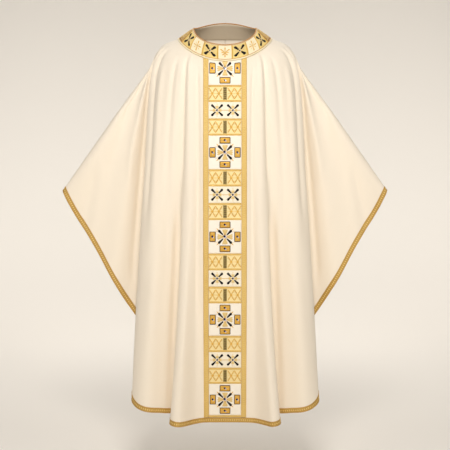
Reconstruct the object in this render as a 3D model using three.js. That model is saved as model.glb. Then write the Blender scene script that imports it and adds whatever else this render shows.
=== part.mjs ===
// A wide liturgical over-garment (chasuble) hanging as it does on a wearer:
// four cloth panels, a raised conical collar, an embroidered centre band on
// the front and on the back, and gold braid along every free edge.
//
// Frame: millimetres, +Z up, the front faces -Y, +X is the viewer's right.
// The origin is the middle of the neck between the shoulder crests.

import * as THREE from "three";

// ---- driving sizes -------------------------------------------------------

const HALF_SPAN = 557;          // centre line to the draped sleeve tip
const LENGTH = 1278;            // neck level down to the hem at the centre
const FRONT_DEPTH = 176;        // how far the front stands forward of the neck
const BACK_DEPTH = 150;         // the same for the back, which hangs calmer
const CLOTH = 1.6;              // panel cloth
const FACING = 0.8;             // neck facing inside the cloth
const BAND = 1.0;               // centre band
const BRAID = 0.8;              // braid along the edges and down the band
const COLLAR = 1.4;             // stiffened collar
const BRAID_WIDTH = 17;
const BAND_HALF = 71.5;         // half the centre band, with its braid
const PIPING = 2.1;             // radius of the collar piping
const STITCH_GAP = 0.3;         // air left between two sewn layers
const RAISED_GAP = 0.8;         // air left under the raised embroidery
const RAISED = 1.6;             // thickness of the raised embroidery
const SEAM = 0.15;              // half the gap in a butted seam
const FIELD_HALF = BAND_HALF - BRAID_WIDTH;

// neck ring and collar edge: half width, half depth, heights at the front,
// the side and the back, and how pointed the front is (0 is a round bow)
const NECK = { across: 107.5, deep: 103, front: -16, side: 54, back: 84, point: 0.05 };
const EDGE = { across: 157, deep: 150, front: -72, side: 20, back: 34, point: 0.45 };

// ring across the shoulder points, where the sleeve folds start
const SHOULDER = { across: 249, deep: 160, side: -65, drop: 75, crest: 21 };

// centre band pattern, measured along the cloth from the collar edge
const CROSSES = 5;
const STONE_HIGH = 3;
const COLLAR_PANEL = 22.5;      // sixteen panels round the collar
const FRONT_CROSS_FIRST = 27;   // partly under the collar
const BACK_CROSS_FIRST = 90;
const FRONT_CROSS_LAST = 58;      // from the last cross down to the hem braid
const BACK_CROSS_LAST = 99;
const CROSS_PANEL = 112;        // height of the panel round a large cross
const TWIN_PANEL = 56;          // height of the panel round the small crosses
const CROSS_MARGIN = 2.5;       // between a large cross and the braid beside it
const TWIN_SPACING = 27;        // from the centre line to one small cross
const PIPING_SEAM = 2.4;        // from the collar edge down to the outer piping
const BAND_TUCK = 2.7;          // from the middle of the outer piping to the band

// ---- the fold lines ------------------------------------------------------
// Every fold line leaves the collar, crosses the shoulder ring and runs to
// the free edge.  collar and ring are angles in degrees from the centre.
// The three points are [out from the centre, forward, up] in millimetres at
// the sizes in DRAWN: upper third, lower third and free edge.  parts is how
// many strips of cloth lie between a fold line and the next one.

const DRAWN = { bandHalf: 71.5, halfSpan: 557, depth: 176, length: 1278 };

/** Angle on a ring at which it is a distance out from the centre line. */
const angleAt = (out, ring) => Math.asin(out / ring.across) * 180 / Math.PI;

const FOLDS = [
  { name: "centre", onBand: true, collar: 0, ring: 0, parts: 2,
    path: [[0, 176, -400], [0, 152, -850], [0, 88, -1278]] },
  { name: "braid_inner", onBand: true, parts: 1,
    collar: angleAt(FIELD_HALF, EDGE), ring: angleAt(FIELD_HALF, SHOULDER),
    path: [[FIELD_HALF, 174, -400], [FIELD_HALF, 151, -850], [FIELD_HALF, 89, -1278]] },
  { name: "band_edge", onBand: true, parts: 1,
    collar: angleAt(BAND_HALF, EDGE), ring: angleAt(BAND_HALF, SHOULDER),
    path: [[BAND_HALF, 172, -400], [BAND_HALF, 150, -850], [BAND_HALF, 91, -1278]] },
  { name: "inner_valley", collar: 33, ring: 20.5, parts: 1,
    path: [[86, 166, -400], [95, 149, -850], [107, 106, -1278]] },
  { name: "inner_ridge", collar: 39.5, ring: 25, parts: 1,
    path: [[110, 164, -400], [131, 168, -850], [162, 166, -1278]] },
  { name: "ridge_wall", collar: 43, ring: 28.5, parts: 1,
    path: [[130, 156, -400], [152, 154, -850], [181, 148, -1274]] },
  { name: "main_valley", collar: 46, ring: 32, parts: 1,
    path: [[147, 148, -400], [161, 126, -850], [176, 102, -1256]] },
  { name: "column_inner", collar: 51, ring: 39, parts: 1,
    path: [[180, 144, -400], [193, 122, -850], [211, 96, -1250]] },
  { name: "column_crest", collar: 57, ring: 48, parts: 1,
    path: [[214, 134, -400], [243, 124, -850], [263, 100, -1245]] },
  { name: "column_outer", collar: 63, ring: 60, parts: 1,
    path: [[247, 112, -398], [280, 107, -845], [298, 90, -1232]] },
  { name: "column_edge", collar: 69, ring: 70, parts: 1,
    path: [[267, 80, -394], [298, 75, -830], [320, 64, -1209]] },
  { name: "column_back", collar: 72, ring: 73.5, parts: 2,
    path: [[261, 56, -388], [277, 52, -795], [281, 45, -1152]] },
  { name: "hidden_fold", collar: 74, ring: 75.5, parts: 2,
    path: [[247, 37, -382], [240, 34, -755], [215, 30, -1085]] },
  { name: "hidden_rise", collar: 76, ring: 77.5, parts: 1,
    path: [[259, 20, -372], [266, 18, -690], [260, 15, -1000]] },
  { name: "wing_valley", collar: 78, ring: 79.5, parts: 1,
    path: [[279, 17, -352], [303, 16, -625], [322, 16, -908]] },
  { name: "wing_ridge", collar: 80.5, ring: 82, parts: 1,
    path: [[305, 31, -318], [342, 36, -560], [376, 35, -822]] },
  { name: "wing_crease", collar: 83.5, ring: 84.5, parts: 1,
    path: [[327, 18, -262], [391, 22, -437], [452, 28, -684]] },
  { name: "wing_face", collar: 86.5, ring: 87, parts: 1,
    path: [[342, 20, -225], [432, 24, -392], [516, 18, -582]] },
  { name: "arm_roll", collar: 88.5, ring: 89, parts: 1,
    path: [[340, 11, -201], [447, 12, -354], [554, 8, -511]] },
  { name: "arm_seam", collar: 90, ring: 90, parts: 0,
    path: [[340, 0, -192], [448, 0, -345], [557, 0, -500]] },
];

/** Moves a drawn value so that the band's edge and the arm come where they are. */
function spread(value, [drawnEdge, drawnEnd], [edge, end]) {
  return edge + (value - drawnEdge) * (end - edge) / (drawnEnd - drawnEdge);
}

/** A fold line beside the band, fitted between the band and the arm. */
function fitted(fold) {
  if (fold.onBand) return fold;
  const angle = (value, ring) =>
    spread(value, [angleAt(DRAWN.bandHalf, ring), 90], [angleAt(BAND_HALF, ring), 90]);
  const out = (value) =>
    spread(value, [DRAWN.bandHalf, DRAWN.halfSpan], [BAND_HALF, HALF_SPAN]);
  return {
    ...fold,
    collar: angle(fold.collar, EDGE),
    ring: angle(fold.ring, SHOULDER),
    path: fold.path.map(([x, forward, up]) => [out(x), forward, up]),
  };
}

const LINES = FOLDS.map(fitted);

// collar angle of each column in one quarter
const FOLD_ANGLES = LINES.flatMap((fold, index) => {
  const next = LINES[index + 1];
  return Array.from({ length: Math.max(fold.parts, 1) }, (unused, part) =>
    fold.collar + (next ? (next.collar - fold.collar) * part / fold.parts : 0));
});

// the centre band starts this far below the collar edge
const BAND_START = PIPING_SEAM + BAND_TUCK;

// shares of the way from the collar edge to the braid where more rows are laid
const ROWS = [0.05, 0.11, 0.19, 0.29, 0.4, 0.51, 0.62, 0.73, 0.83, 0.92, 1];

// ---- the draped surface --------------------------------------------------

const CREST_SHARE = 0.72;       // of the shoulder crest, outwards and upwards
const CURVE_STEPS = 600;        // steps in which a fold line is measured

const radians = (degrees) => degrees * Math.PI / 180;

/** Point on a tilted neck ring; side is -1 for the front, +1 for the back. */
function ringPoint(ring, degrees, side) {
  const angle = radians(degrees);
  const end = side < 0 ? ring.front : ring.back;
  const point = side < 0 ? ring.point : 1;
  const rise = point * Math.sin(angle) ** 2 + (1 - point) * (1 - Math.cos(angle));
  return new THREE.Vector3(
    ring.across * Math.sin(angle),
    side * ring.deep * Math.cos(angle),
    end + (ring.side - end) * rise,
  );
}

/** Point on the ring across the shoulder points. */
function shoulderPoint(degrees, depth) {
  const angle = radians(degrees);
  return new THREE.Vector3(
    SHOULDER.across * Math.sin(angle),
    depth * SHOULDER.deep * Math.cos(angle),
    SHOULDER.side - SHOULDER.drop * Math.cos(angle) ** 2,
  );
}

/** Smooth curve through points, kept free of loops where they crowd. */
function curveThrough(points) {
  return new THREE.CatmullRomCurve3(points, false, "centripetal");
}

/** Points down one fold line: neck ring, collar rows, then to the edge. */
function foldLine(fold, side) {
  const depth = side * (side < 0 ? FRONT_DEPTH : BACK_DEPTH) / DRAWN.depth;
  const neck = ringPoint(NECK, fold.collar, side);
  const edge = ringPoint(EDGE, fold.collar, side);
  const ring = shoulderPoint(fold.ring, depth);
  const lift = SHOULDER.crest * Math.sin(radians(fold.collar)) ** 4;
  const crest = edge.clone().lerp(ring, 0.5);
  crest.x += CREST_SHARE * lift;
  crest.z += CREST_SHARE * lift;
  const path = fold.path.map(([out, forward, up]) =>
    new THREE.Vector3(out, forward * depth, up * LENGTH / DRAWN.length));
  const last = path[path.length - 1];
  const beyond = last.clone().multiplyScalar(2).sub(path[path.length - 2]);
  const curve = curveThrough([edge, crest, ring, ...path, beyond]);
  const samples = curve.getSpacedPoints(CURVE_STEPS);
  const cut = samples.findIndex((point, index) => index > CURVE_STEPS / 2
    && point.distanceTo(last) < samples[index + 1].distanceTo(last));
  const run = samples.slice(0, cut + 1);
  run[cut] = last.clone();
  const lengths = [0];
  for (let i = 1; i < run.length; i += 1) {
    lengths.push(lengths[i - 1] + run[i].distanceTo(run[i - 1]));
  }
  const total = lengths[cut];
  const at = (distance) => {
    let i = 1;
    while (i < cut && lengths[i] < distance) i += 1;
    const share = (distance - lengths[i - 1]) / (lengths[i] - lengths[i - 1]);
    return run[i - 1].clone().lerp(run[i], share);
  };
  const rows = [neck, neck.clone().lerp(edge, 0.5), at(0), at(BAND_START)];
  for (const share of ROWS) rows.push(at(share * (total - BRAID_WIDTH)));
  rows.push(last.clone());
  return rows;
}

/** Columns of points for one quarter, from the centre to the arm seam. */
function quarterColumns(side) {
  const lines = LINES.map((fold) => foldLine(fold, side));
  const rowCount = lines[0].length;
  const rows = [];
  for (let row = 0; row < rowCount; row += 1) {
    const points = lines.map((line) => line[row]);
    const first = points[1].clone();
    first.x *= -1;
    const last = points[points.length - 2].clone();
    last.y *= -1;
    rows.push(curveThrough([first, ...points, last]));
  }
  const columns = [];
  LINES.forEach((fold, index) => {
    for (let part = 0; part < Math.max(fold.parts, 1); part += 1) {
      const share = (index + 1 + part / Math.max(fold.parts, 1)) / (LINES.length + 1);
      columns.push(rows.map((curve) => curve.getPoint(share)));
    }
  });
  columns[0].forEach((point) => { point.x = 0; });
  columns[columns.length - 1].forEach((point) => { point.y = 0; });
  return columns;
}

/**
 * The whole surface as columns round the body.  Index 0 is the centre
 * front, rising over the right arm to the centre back and on over the left.
 */
function wholeSurface() {
  const front = quarterColumns(-1);
  const back = quarterColumns(1);
  const mirror = (column) => column.map((point) =>
    new THREE.Vector3(-point.x, point.y, point.z));
  const right = [...front, ...back.slice(0, -1).reverse()];
  const left = right.slice(1, -1).map(mirror).reverse();
  return { columns: [...right, ...left], quarter: front.length - 1 };
}

const SURFACE = wholeSurface();
const QUARTER = SURFACE.quarter;
const AROUND = SURFACE.columns.length;
const COLLAR_ROW = 2;
const BAND_ROW = COLLAR_ROW + 1;
const STRAIGHT_ROW = COLLAR_ROW + 7;    // from here down the band keeps its width
const LAST_ROW = SURFACE.columns[0].length - 1;
const BRAID_ROW = LAST_ROW - 1;

const column = (index) => SURFACE.columns[((index % AROUND) + AROUND) % AROUND];

/** Outward normals at every grid point, flattened at the four seams. */
function surfaceNormals() {
  const normals = [];
  for (let i = 0; i < AROUND; i += 1) {
    const own = [];
    for (let j = 0; j <= LAST_ROW; j += 1) {
      const sum = new THREE.Vector3();
      for (const [di, dj] of [[1, 1], [-1, 1], [-1, -1], [1, -1]]) {
        const along = column(i + di)[j];
        const down = column(i)[j + dj];
        if (!down) continue;
        const a = along.clone().sub(column(i)[j]).normalize();
        const b = down.clone().sub(column(i)[j]).normalize();
        sum.add(b.cross(a).multiplyScalar(di * dj));
      }
      if (i % (2 * QUARTER) === 0) sum.x = 0;
      if ((i + QUARTER) % (2 * QUARTER) === 0) sum.y = 0;
      own.push(sum.normalize());
    }
    normals.push(own);
  }
  return normals;
}

const NORMALS = surfaceNormals();
const normalColumn = (index) => NORMALS[((index % AROUND) + AROUND) % AROUND];

/** Point on the faceted surface at a column, a part row and a height. */
function surfacePoint(index, row, height) {
  const lower = Math.min(Math.floor(row), LAST_ROW - 1);
  const share = row - lower;
  const point = column(index)[lower].clone().lerp(column(index)[lower + 1], share);
  const normal = normalColumn(index)[lower].clone()
    .lerp(normalColumn(index)[lower + 1], share);
  return point.addScaledVector(normal, height);
}

/** Point on the facets themselves, part of the way from one column to the next. */
function facetPoint(index, across, row, height) {
  const j = Math.min(Math.floor(row), LAST_ROW - 1);
  const down = row - j;
  const mix = (columns) => {
    const corner = [columns(index)[j], columns(index + 1)[j + 1]];
    const side = down >= across ? columns(index)[j + 1] : columns(index + 1)[j];
    const low = Math.min(down, across);
    const high = Math.max(down, across);
    return corner[0].clone().multiplyScalar(1 - high)
      .addScaledVector(side, high - low)
      .addScaledVector(corner[1], low);
  };
  return mix(column).addScaledVector(mix(normalColumn), height);
}

/** The row number that lies a distance below a given row on one column. */
function rowBelow(index, row, distance) {
  let left = distance;
  let at = row;
  while (at < LAST_ROW) {
    const step = column(index)[at].distanceTo(column(index)[at + 1]);
    if (left <= step) return at + left / step;
    left -= step;
    at += 1;
  }
  return LAST_ROW;
}

/** The row number at which a column of the body crosses a level. */
function rowAtLevel(index, level) {
  let row = COLLAR_ROW;
  while (row < LAST_ROW - 1 && column(index)[row + 1].z > level) row += 1;
  const [above, below] = [column(index)[row].z, column(index)[row + 1].z];
  return row + (above - level) / (above - below);
}

// ---- solids built on the surface -----------------------------------------

/** Triangle list that becomes one closed body. */
class Body {
  constructor() {
    this.positions = [];
  }

  triangle(a, b, c) {
    for (const point of [a, b, c]) this.positions.push(point.x, point.y, point.z);
  }

  quad(a, b, c, d) {
    this.triangle(a, b, c);
    this.triangle(a, c, d);
  }

  mesh(name, look) {
    const geometry = new THREE.BufferGeometry();
    geometry.setAttribute("position", new THREE.Float32BufferAttribute(this.positions, 3));
    geometry.computeVertexNormals();
    const mesh = new THREE.Mesh(geometry, new THREE.MeshStandardMaterial(look));
    mesh.name = name;
    return mesh;
  }
}

/**
 * A layer of cloth over part of the surface.
 * from/to are columns, top/bottom give the rows of a column, and the layer
 * fills the heights low..high above the surface.
 */
function layer(body, from, to, rowsOf, low, high, shift = () => null) {
  const closed = to - from === AROUND;
  const grid = (height) => {
    const columns = [];
    for (let i = from; i <= to; i += 1) {
      const index = closed && i === to ? from : i;
      columns.push(rowsOf(index).map((row) => {
        const point = surfacePoint(index, row, height);
        const move = shift(index);
        return move ? point.add(move) : point;
      }));
    }
    return columns;
  };
  const outer = grid(high);
  const inner = grid(low);
  const rows = outer[0].length - 1;
  for (let i = 0; i < to - from; i += 1) {
    for (let j = 0; j < rows; j += 1) {
      body.quad(outer[i][j], outer[i][j + 1], outer[i + 1][j + 1], outer[i + 1][j]);
      body.quad(inner[i][j], inner[i + 1][j], inner[i + 1][j + 1], inner[i][j + 1]);
    }
    body.quad(outer[i][0], outer[i + 1][0], inner[i + 1][0], inner[i][0]);
    body.quad(inner[i][rows], inner[i + 1][rows], outer[i + 1][rows], outer[i][rows]);
  }
  if (closed) return body;
  const end = to - from;
  for (let j = 0; j < rows; j += 1) {
    body.quad(inner[0][j], inner[0][j + 1], outer[0][j + 1], outer[0][j]);
    body.quad(outer[end][j], outer[end][j + 1], inner[end][j + 1], inner[end][j]);
  }
  return body;
}

const span = (from, to) => {
  const rows = [];
  for (let row = from; row <= to; row += 1) rows.push(row);
  return rows;
};

/** A four-sided cord that follows one row all round the neck. */
function cord(body, centreOf, downOf) {
  const rings = [];
  for (let i = 0; i < AROUND; i += 1) {
    const centre = centreOf(i);
    const down = downOf(i);
    const normal = normalColumn(i)[COLLAR_ROW].clone();
    normal.addScaledVector(down, -normal.dot(down)).normalize();
    rings.push([
      centre.clone().addScaledVector(normal, PIPING),
      centre.clone().addScaledVector(down, PIPING),
      centre.clone().addScaledVector(normal, -PIPING),
      centre.clone().addScaledVector(down, -PIPING),
    ]);
  }
  for (let i = 0; i < AROUND; i += 1) {
    const next = (i + 1) % AROUND;
    for (let k = 0; k < 4; k += 1) {
      const after = (k + 1) % 4;
      body.quad(rings[i][k], rings[i][after], rings[next][after], rings[next][k]);
    }
  }
  return body;
}

/** Column of the centre line: side is -1 for the front, +1 for the back. */
const homeColumn = (side) => (side < 0 ? 0 : 2 * QUARTER);

/**
 * Where a point of the centre band lies: across from the centre line, along
 * the centre line from the collar edge, and above the surface.  across is to
 * the left of someone looking at that side.
 */
function bandPoint(side, across, along, height) {
  const home = homeColumn(side);
  const sign = Math.sign(across) || 1;
  let index = 0;
  const reach = (i) => Math.abs(column(home - i * sign)[STRAIGHT_ROW].x);
  while (reach(index + 1) < Math.abs(across)) index += 1;
  const inside = reach(index);
  const share = (Math.abs(across) - inside) / (reach(index + 1) - inside);
  const first = home - index * sign;
  const second = first - sign;
  const level = surfacePoint(home, rowBelow(home, COLLAR_ROW, along), 0).z;
  const row = rowAtLevel(first, level) * (1 - share) + rowAtLevel(second, level) * share;
  return sign < 0
    ? facetPoint(first, share, row, height)
    : facetPoint(second, 1 - share, row, height);
}

const BAND_TOP = STITCH_GAP + BAND;
const RAISED_LOW = BAND_TOP + RAISED_GAP;
const RAISED_HIGH = RAISED_LOW + RAISED;
const CROSS_REACH = FIELD_HALF - CROSS_MARGIN;
const NECK_BEND = 2250;         // how gently the cloth bends below the collar
const CURVED_LIFT = CROSS_REACH ** 2 / NECK_BEND;       // more air over that bend
const COLLAR_LIFT = 0.95;       // air under the embroidery on the collar
const UNDER_COLLAR = 12;        // the first cross is cut off by the collar here

/** A flat raised shape: its outline, the same outline at half size, a middle. */
function raisedStar(body, place, outline, low, high) {
  const ringAt = (size, height) => outline.map(([x, y]) => place(size * x, size * y, height));
  const top = ringAt(1, high);
  const topHalf = ringAt(0.5, high);
  const bottom = ringAt(1, low);
  const bottomHalf = ringAt(0.5, low);
  const topMid = place(0, 0, high);
  const bottomMid = place(0, 0, low);
  for (let i = 0; i < outline.length; i += 1) {
    const next = (i + 1) % outline.length;
    body.triangle(topMid, topHalf[i], topHalf[next]);
    body.quad(topHalf[i], top[i], top[next], topHalf[next]);
    body.triangle(bottomMid, bottomHalf[next], bottomHalf[i]);
    body.quad(bottomHalf[next], bottom[next], bottom[i], bottomHalf[i]);
    body.quad(bottom[i], bottom[next], top[next], top[i]);
  }
  return body;
}

/** Outline of a cross with four petals between four arms. */
function crossOutline(petal, arm, waist) {
  const outline = [];
  for (let quarter = 0; quarter < 4; quarter += 1) {
    const start = quarter * 90;
    const [reach, half] = arm[quarter % 2];
    const tip = Math.hypot(reach, half);
    const spread = Math.atan2(half, reach) * 180 / Math.PI;
    outline.push([tip, start - spread], [tip, start + spread]);
    outline.push([waist, start + 27]);
    outline.push([petal - 3, start + 38], [petal, start + 45], [petal - 3, start + 52]);
    outline.push([waist, start + 63]);
  }
  return outline.map(([radius, degrees]) =>
    [radius * Math.cos(radians(degrees)), radius * Math.sin(radians(degrees))]);
}

const LARGE_CROSS = crossOutline(34, [[CROSS_REACH, 17], [50, 18]], 20);
const SMALL_CROSS = crossOutline(25, [[15, 4], [22, 4]], 11);

const COLLAR_CROSS = crossOutline(16, [[9, 2.5], [11, 2.5]], 6);
const COLLAR_STAR = crossOutline(14, [[17, 2], [19, 2]], 6);
const BAR_HALF = { wide: 6.5, tall: 22 };
const BAR = [[-1, -1], [0, -1], [1, -1], [1, 0], [1, 1], [0, 1], [-1, 1], [-1, 0]]
  .map(([x, y]) => [x * BAR_HALF.wide, y * BAR_HALF.tall]);
const STONE_RADIUS = 6;
const STONE = Array.from({ length: 8 }, (unused, k) =>
  [STONE_RADIUS * Math.cos(radians(k * 45)), STONE_RADIUS * Math.sin(radians(k * 45))]);

/** Two small crosses joined by a cord across the centre line. */
function twinCross(body, side, along) {
  const place = (x, y, height) => bandPoint(side, x, along + y, height);
  const left = SMALL_CROSS.map(([x, y]) => [x - TWIN_SPACING, y]);
  const right = SMALL_CROSS.map(([x, y]) => [x + TWIN_SPACING, y]);
  const shapes = [
    { middle: -TWIN_SPACING, outline: left, joint: 0 },
    { middle: TWIN_SPACING, outline: right, joint: 14 },
  ];
  const ends = [];
  for (const { middle, outline, joint } of shapes) {
    const count = outline.length;
    const top = outline.map(([x, y]) => place(x, y, RAISED_HIGH));
    const bottom = outline.map(([x, y]) => place(x, y, RAISED_LOW));
    const topMid = place(middle, 0, RAISED_HIGH);
    const bottomMid = place(middle, 0, RAISED_LOW);
    for (let i = 0; i < count; i += 1) {
      const next = (i + 1) % count;
      body.triangle(topMid, top[i], top[next]);
      body.triangle(bottomMid, bottom[next], bottom[i]);
      if (i !== joint) body.quad(bottom[i], bottom[next], top[next], top[i]);
    }
    const next = (joint + 1) % count;
    ends.push({
      top: [top[joint], top[next]],
      bottom: [bottom[joint], bottom[next]],
    });
  }
  const [a, b] = ends;
  body.quad(a.top[1], a.top[0], b.top[1], b.top[0]);
  body.quad(b.bottom[0], b.bottom[1], a.bottom[0], a.bottom[1]);
  body.quad(a.top[0], a.bottom[0], b.bottom[1], b.top[1]);
  body.quad(a.bottom[1], a.top[1], b.top[0], b.bottom[0]);
  return body;
}

// ---- colours -------------------------------------------------------------

const CLOTH_LOOK = { color: "#f0e0c9", roughness: 0.9, metalness: 0 };
const FACING_LOOK = { color: "#e6d8c0", roughness: 0.92, metalness: 0 };
const GOLD_LOOK = { color: "#bd9746", roughness: 0.45, metalness: 0.35 };
const FIELD_LOOK = { color: "#eadcbc", roughness: 0.8, metalness: 0.05 };
const COLLAR_LOOK = { color: "#e4d09c", roughness: 0.7, metalness: 0.1 };
const PIPING_LOOK = { color: "#e2cf97", roughness: 0.6, metalness: 0.1 };
const TRIM_LOOK = { color: "#9a5f2c", roughness: 0.6, metalness: 0.1 };
const CROSS_LOOK = { color: "#c59a3f", roughness: 0.5, metalness: 0.3 };
const BLACK_LOOK = { color: "#1d1a1c", roughness: 0.45, metalness: 0 };
const BAR_LOOK = { color: "#6f6540", roughness: 0.5, metalness: 0.2 };
const STONE_LOOK = { color: "#1b2238", roughness: 0.08, metalness: 0 };

// ---- assembly ------------------------------------------------------------

const part = new THREE.Group();
part.name = "chasuble";

/** Keeps the four panels a seam apart at the centre lines and the arms. */
function seamShift(right, front) {
  return (index) => {
    const place = ((index % AROUND) + AROUND) % AROUND;
    if (place % (2 * QUARTER) === 0) return new THREE.Vector3(right * SEAM, 0, 0);
    if ((place + QUARTER) % (2 * QUARTER) === 0) {
      return new THREE.Vector3(0, front * SEAM, 0);
    }
    return null;
  };
}

const PANELS = [
  { name: "front_panel_right", start: 0, right: 1, front: -1 },
  { name: "back_panel_right", start: QUARTER, right: 1, front: 1 },
  { name: "back_panel_left", start: 2 * QUARTER, right: -1, front: 1 },
  { name: "front_panel_left", start: 3 * QUARTER, right: -1, front: -1 },
];

for (const { name, start, right, front } of PANELS) {
  const rows = () => span(0, LAST_ROW);
  const shift = seamShift(right, front);
  const body = layer(new Body(), start, start + QUARTER, rows, -CLOTH, 0, shift);
  part.add(body.mesh(name, CLOTH_LOOK));
}

const collarRows = () => span(0, COLLAR_ROW);
const facingLow = -CLOTH - STITCH_GAP - FACING;
part.add(layer(new Body(), 0, AROUND, collarRows, facingLow, facingLow + FACING)
  .mesh("neck_facing", FACING_LOOK));
part.add(layer(new Body(), 0, AROUND, collarRows, STITCH_GAP, STITCH_GAP + COLLAR)
  .mesh("collar", COLLAR_LOOK));

const downAt = (index, row) =>
  column(index)[row + 1].clone().sub(column(index)[row]).normalize();
part.add(cord(new Body(),
  (i) => surfacePoint(i, 0, -CLOTH / 2)
    .addScaledVector(downAt(i, 0), -(PIPING + STITCH_GAP)),
  (i) => downAt(i, 0)).mesh("collar_inner_piping", TRIM_LOOK));
const outerPiping = (i) =>
  surfacePoint(i, rowBelow(i, COLLAR_ROW, PIPING_SEAM), PIPING + RAISED_GAP);
part.add(cord(new Body(), outerPiping, (i) => downAt(i, COLLAR_ROW))
  .mesh("collar_outer_piping", PIPING_LOOK));

// braid along the free edge, one run for the front and one for the back
const edgeRows = () => [BRAID_ROW, LAST_ROW];
for (const [name, start, front] of [["front", -QUARTER, -1], ["back", QUARTER, 1]]) {
  const armGap = (index) => {
    const place = ((index % AROUND) + AROUND) % AROUND;
    const arm = (place + QUARTER) % (2 * QUARTER) === 0;
    return arm ? new THREE.Vector3(0, front * SEAM, 0) : null;
  };
  part.add(layer(new Body(), start, start + 2 * QUARTER, edgeRows,
    STITCH_GAP, STITCH_GAP + BRAID, armGap).mesh(`${name}_edge_braid`, GOLD_LOOK));
}

// centre bands with a braid down each side
const BAND_COLUMNS = 4;
const bandRows = () => [...span(BAND_ROW, BRAID_ROW - 1), BRAID_ROW - 0.005];
for (const [name, side] of [["front", -1], ["back", 1]]) {
  const home = homeColumn(side);
  part.add(layer(new Body(), home - BAND_COLUMNS + 1, home + BAND_COLUMNS - 1,
    bandRows, STITCH_GAP, BAND_TOP).mesh(`${name}_band`, FIELD_LOOK));
  const low = BAND_TOP + STITCH_GAP;
  const right = name === "front" ? "right" : "left";
  const left = name === "front" ? "left" : "right";
  part.add(layer(new Body(), home + BAND_COLUMNS - 2, home + BAND_COLUMNS - 1,
    bandRows, low, low + BRAID).mesh(`${name}_band_braid_${right}`, GOLD_LOOK));
  part.add(layer(new Body(), home - BAND_COLUMNS + 1, home - BAND_COLUMNS + 2,
    bandRows, low, low + BRAID).mesh(`${name}_band_braid_${left}`, GOLD_LOOK));
}

/** Point on the collar: an angle in degrees from the centre front, and a row. */
function collarPoint(degrees, row, height) {
  const side = Math.sign(degrees) || 1;
  let step = 0;
  while (FOLD_ANGLES[step + 1] < Math.abs(degrees)) step += 1;
  const share = (Math.abs(degrees) - FOLD_ANGLES[step]) / (FOLD_ANGLES[step + 1] - FOLD_ANGLES[step]);
  return side > 0
    ? facetPoint(step, share, row, height)
    : facetPoint(-step - 1, 1 - share, row, height);
}

/** Length of the centre line from the collar edge to the hem braid. */
function bandLength(side) {
  const line = column(homeColumn(side));
  let length = 0;
  for (let row = COLLAR_ROW; row < BRAID_ROW; row += 1) {
    length += line[row].distanceTo(line[row + 1]);
  }
  return length;
}

// raised embroidery on the bands
const SIDES = [
  { name: "front", side: -1, first: FRONT_CROSS_FIRST, last: FRONT_CROSS_LAST, full: true },
  { name: "back", side: 1, first: BACK_CROSS_FIRST, last: BACK_CROSS_LAST, full: false },
];
for (const { name, side, first, last, full } of SIDES) {
  const repeat = (bandLength(side) - first - last) / (CROSSES - 1);
  const latticeMiddle = CROSS_PANEL / 2 + (repeat - CROSS_PANEL - TWIN_PANEL) / 4;
  for (let n = 0; n < CROSSES; n += 1) {
    const along = first + n * repeat;
    const lift = n === 0 ? CURVED_LIFT : 0;
    const place = (x, y, height) =>
      bandPoint(side, x, Math.max(along + y, UNDER_COLLAR), height + lift);
    const cross = raisedStar(new Body(), place, LARGE_CROSS, RAISED_LOW, RAISED_HIGH);
    part.add(cross.mesh(`${name}_cross_${n + 1}`, CROSS_LOOK));
    if (full) {
      const low = RAISED_HIGH + RAISED_GAP;
      part.add(raisedStar(new Body(), place, STONE, low, low + STONE_HIGH)
        .mesh(`${name}_stone_${n + 1}`, STONE_LOOK));
    }
    if (n === CROSSES - 1) break;
    part.add(twinCross(new Body(), side, along + repeat / 2)
      .mesh(`${name}_twin_cross_${n + 1}`, BLACK_LOOK));
    if (!full) continue;
    for (const [which, middle] of [["a", latticeMiddle], ["b", repeat - latticeMiddle]]) {
      const at = (x, y, height) => bandPoint(side, x, along + middle + y, height);
      part.add(raisedStar(new Body(), at, BAR, RAISED_LOW, RAISED_HIGH)
        .mesh(`${name}_bar_${n + 1}${which}`, BAR_LOOK));
    }
  }
}

// raised embroidery on the front of the collar
const COLLAR_TOP = STITCH_GAP + COLLAR;
const collarMotif = (degrees, outline) => {
  const reach = (EDGE.across + NECK.across) / 2;
  const slope = column(0)[0].distanceTo(column(0)[COLLAR_ROW]) / COLLAR_ROW;
  const place = (x, y, height) =>
    collarPoint(degrees - x / reach * 180 / Math.PI, 1 + y / slope, height);
  return raisedStar(new Body(), place, outline,
    COLLAR_TOP + COLLAR_LIFT, COLLAR_TOP + COLLAR_LIFT + RAISED);
};
part.add(collarMotif(0, COLLAR_STAR).mesh("collar_star", CROSS_LOOK));
for (const [name, turn] of [["right", 1], ["left", -1]]) {
  for (const [which, steps] of [["inner", 1], ["outer", 3]]) {
    part.add(collarMotif(turn * steps * COLLAR_PANEL, COLLAR_CROSS)
      .mesh(`collar_cross_${which}_${name}`, BLACK_LOOK));
  }
}

export default part;
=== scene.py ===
"""Looks of a draped chasuble: cloth, collar, embroidered bands and braid.

Every shape is worked out in millimetres on one draped surface, the same one the CAD
source describes, and is turned into metres when a mesh is made.  Trims are laid on
that surface through patches, which map flat coordinates (across, up, out) to space.
"""

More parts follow.
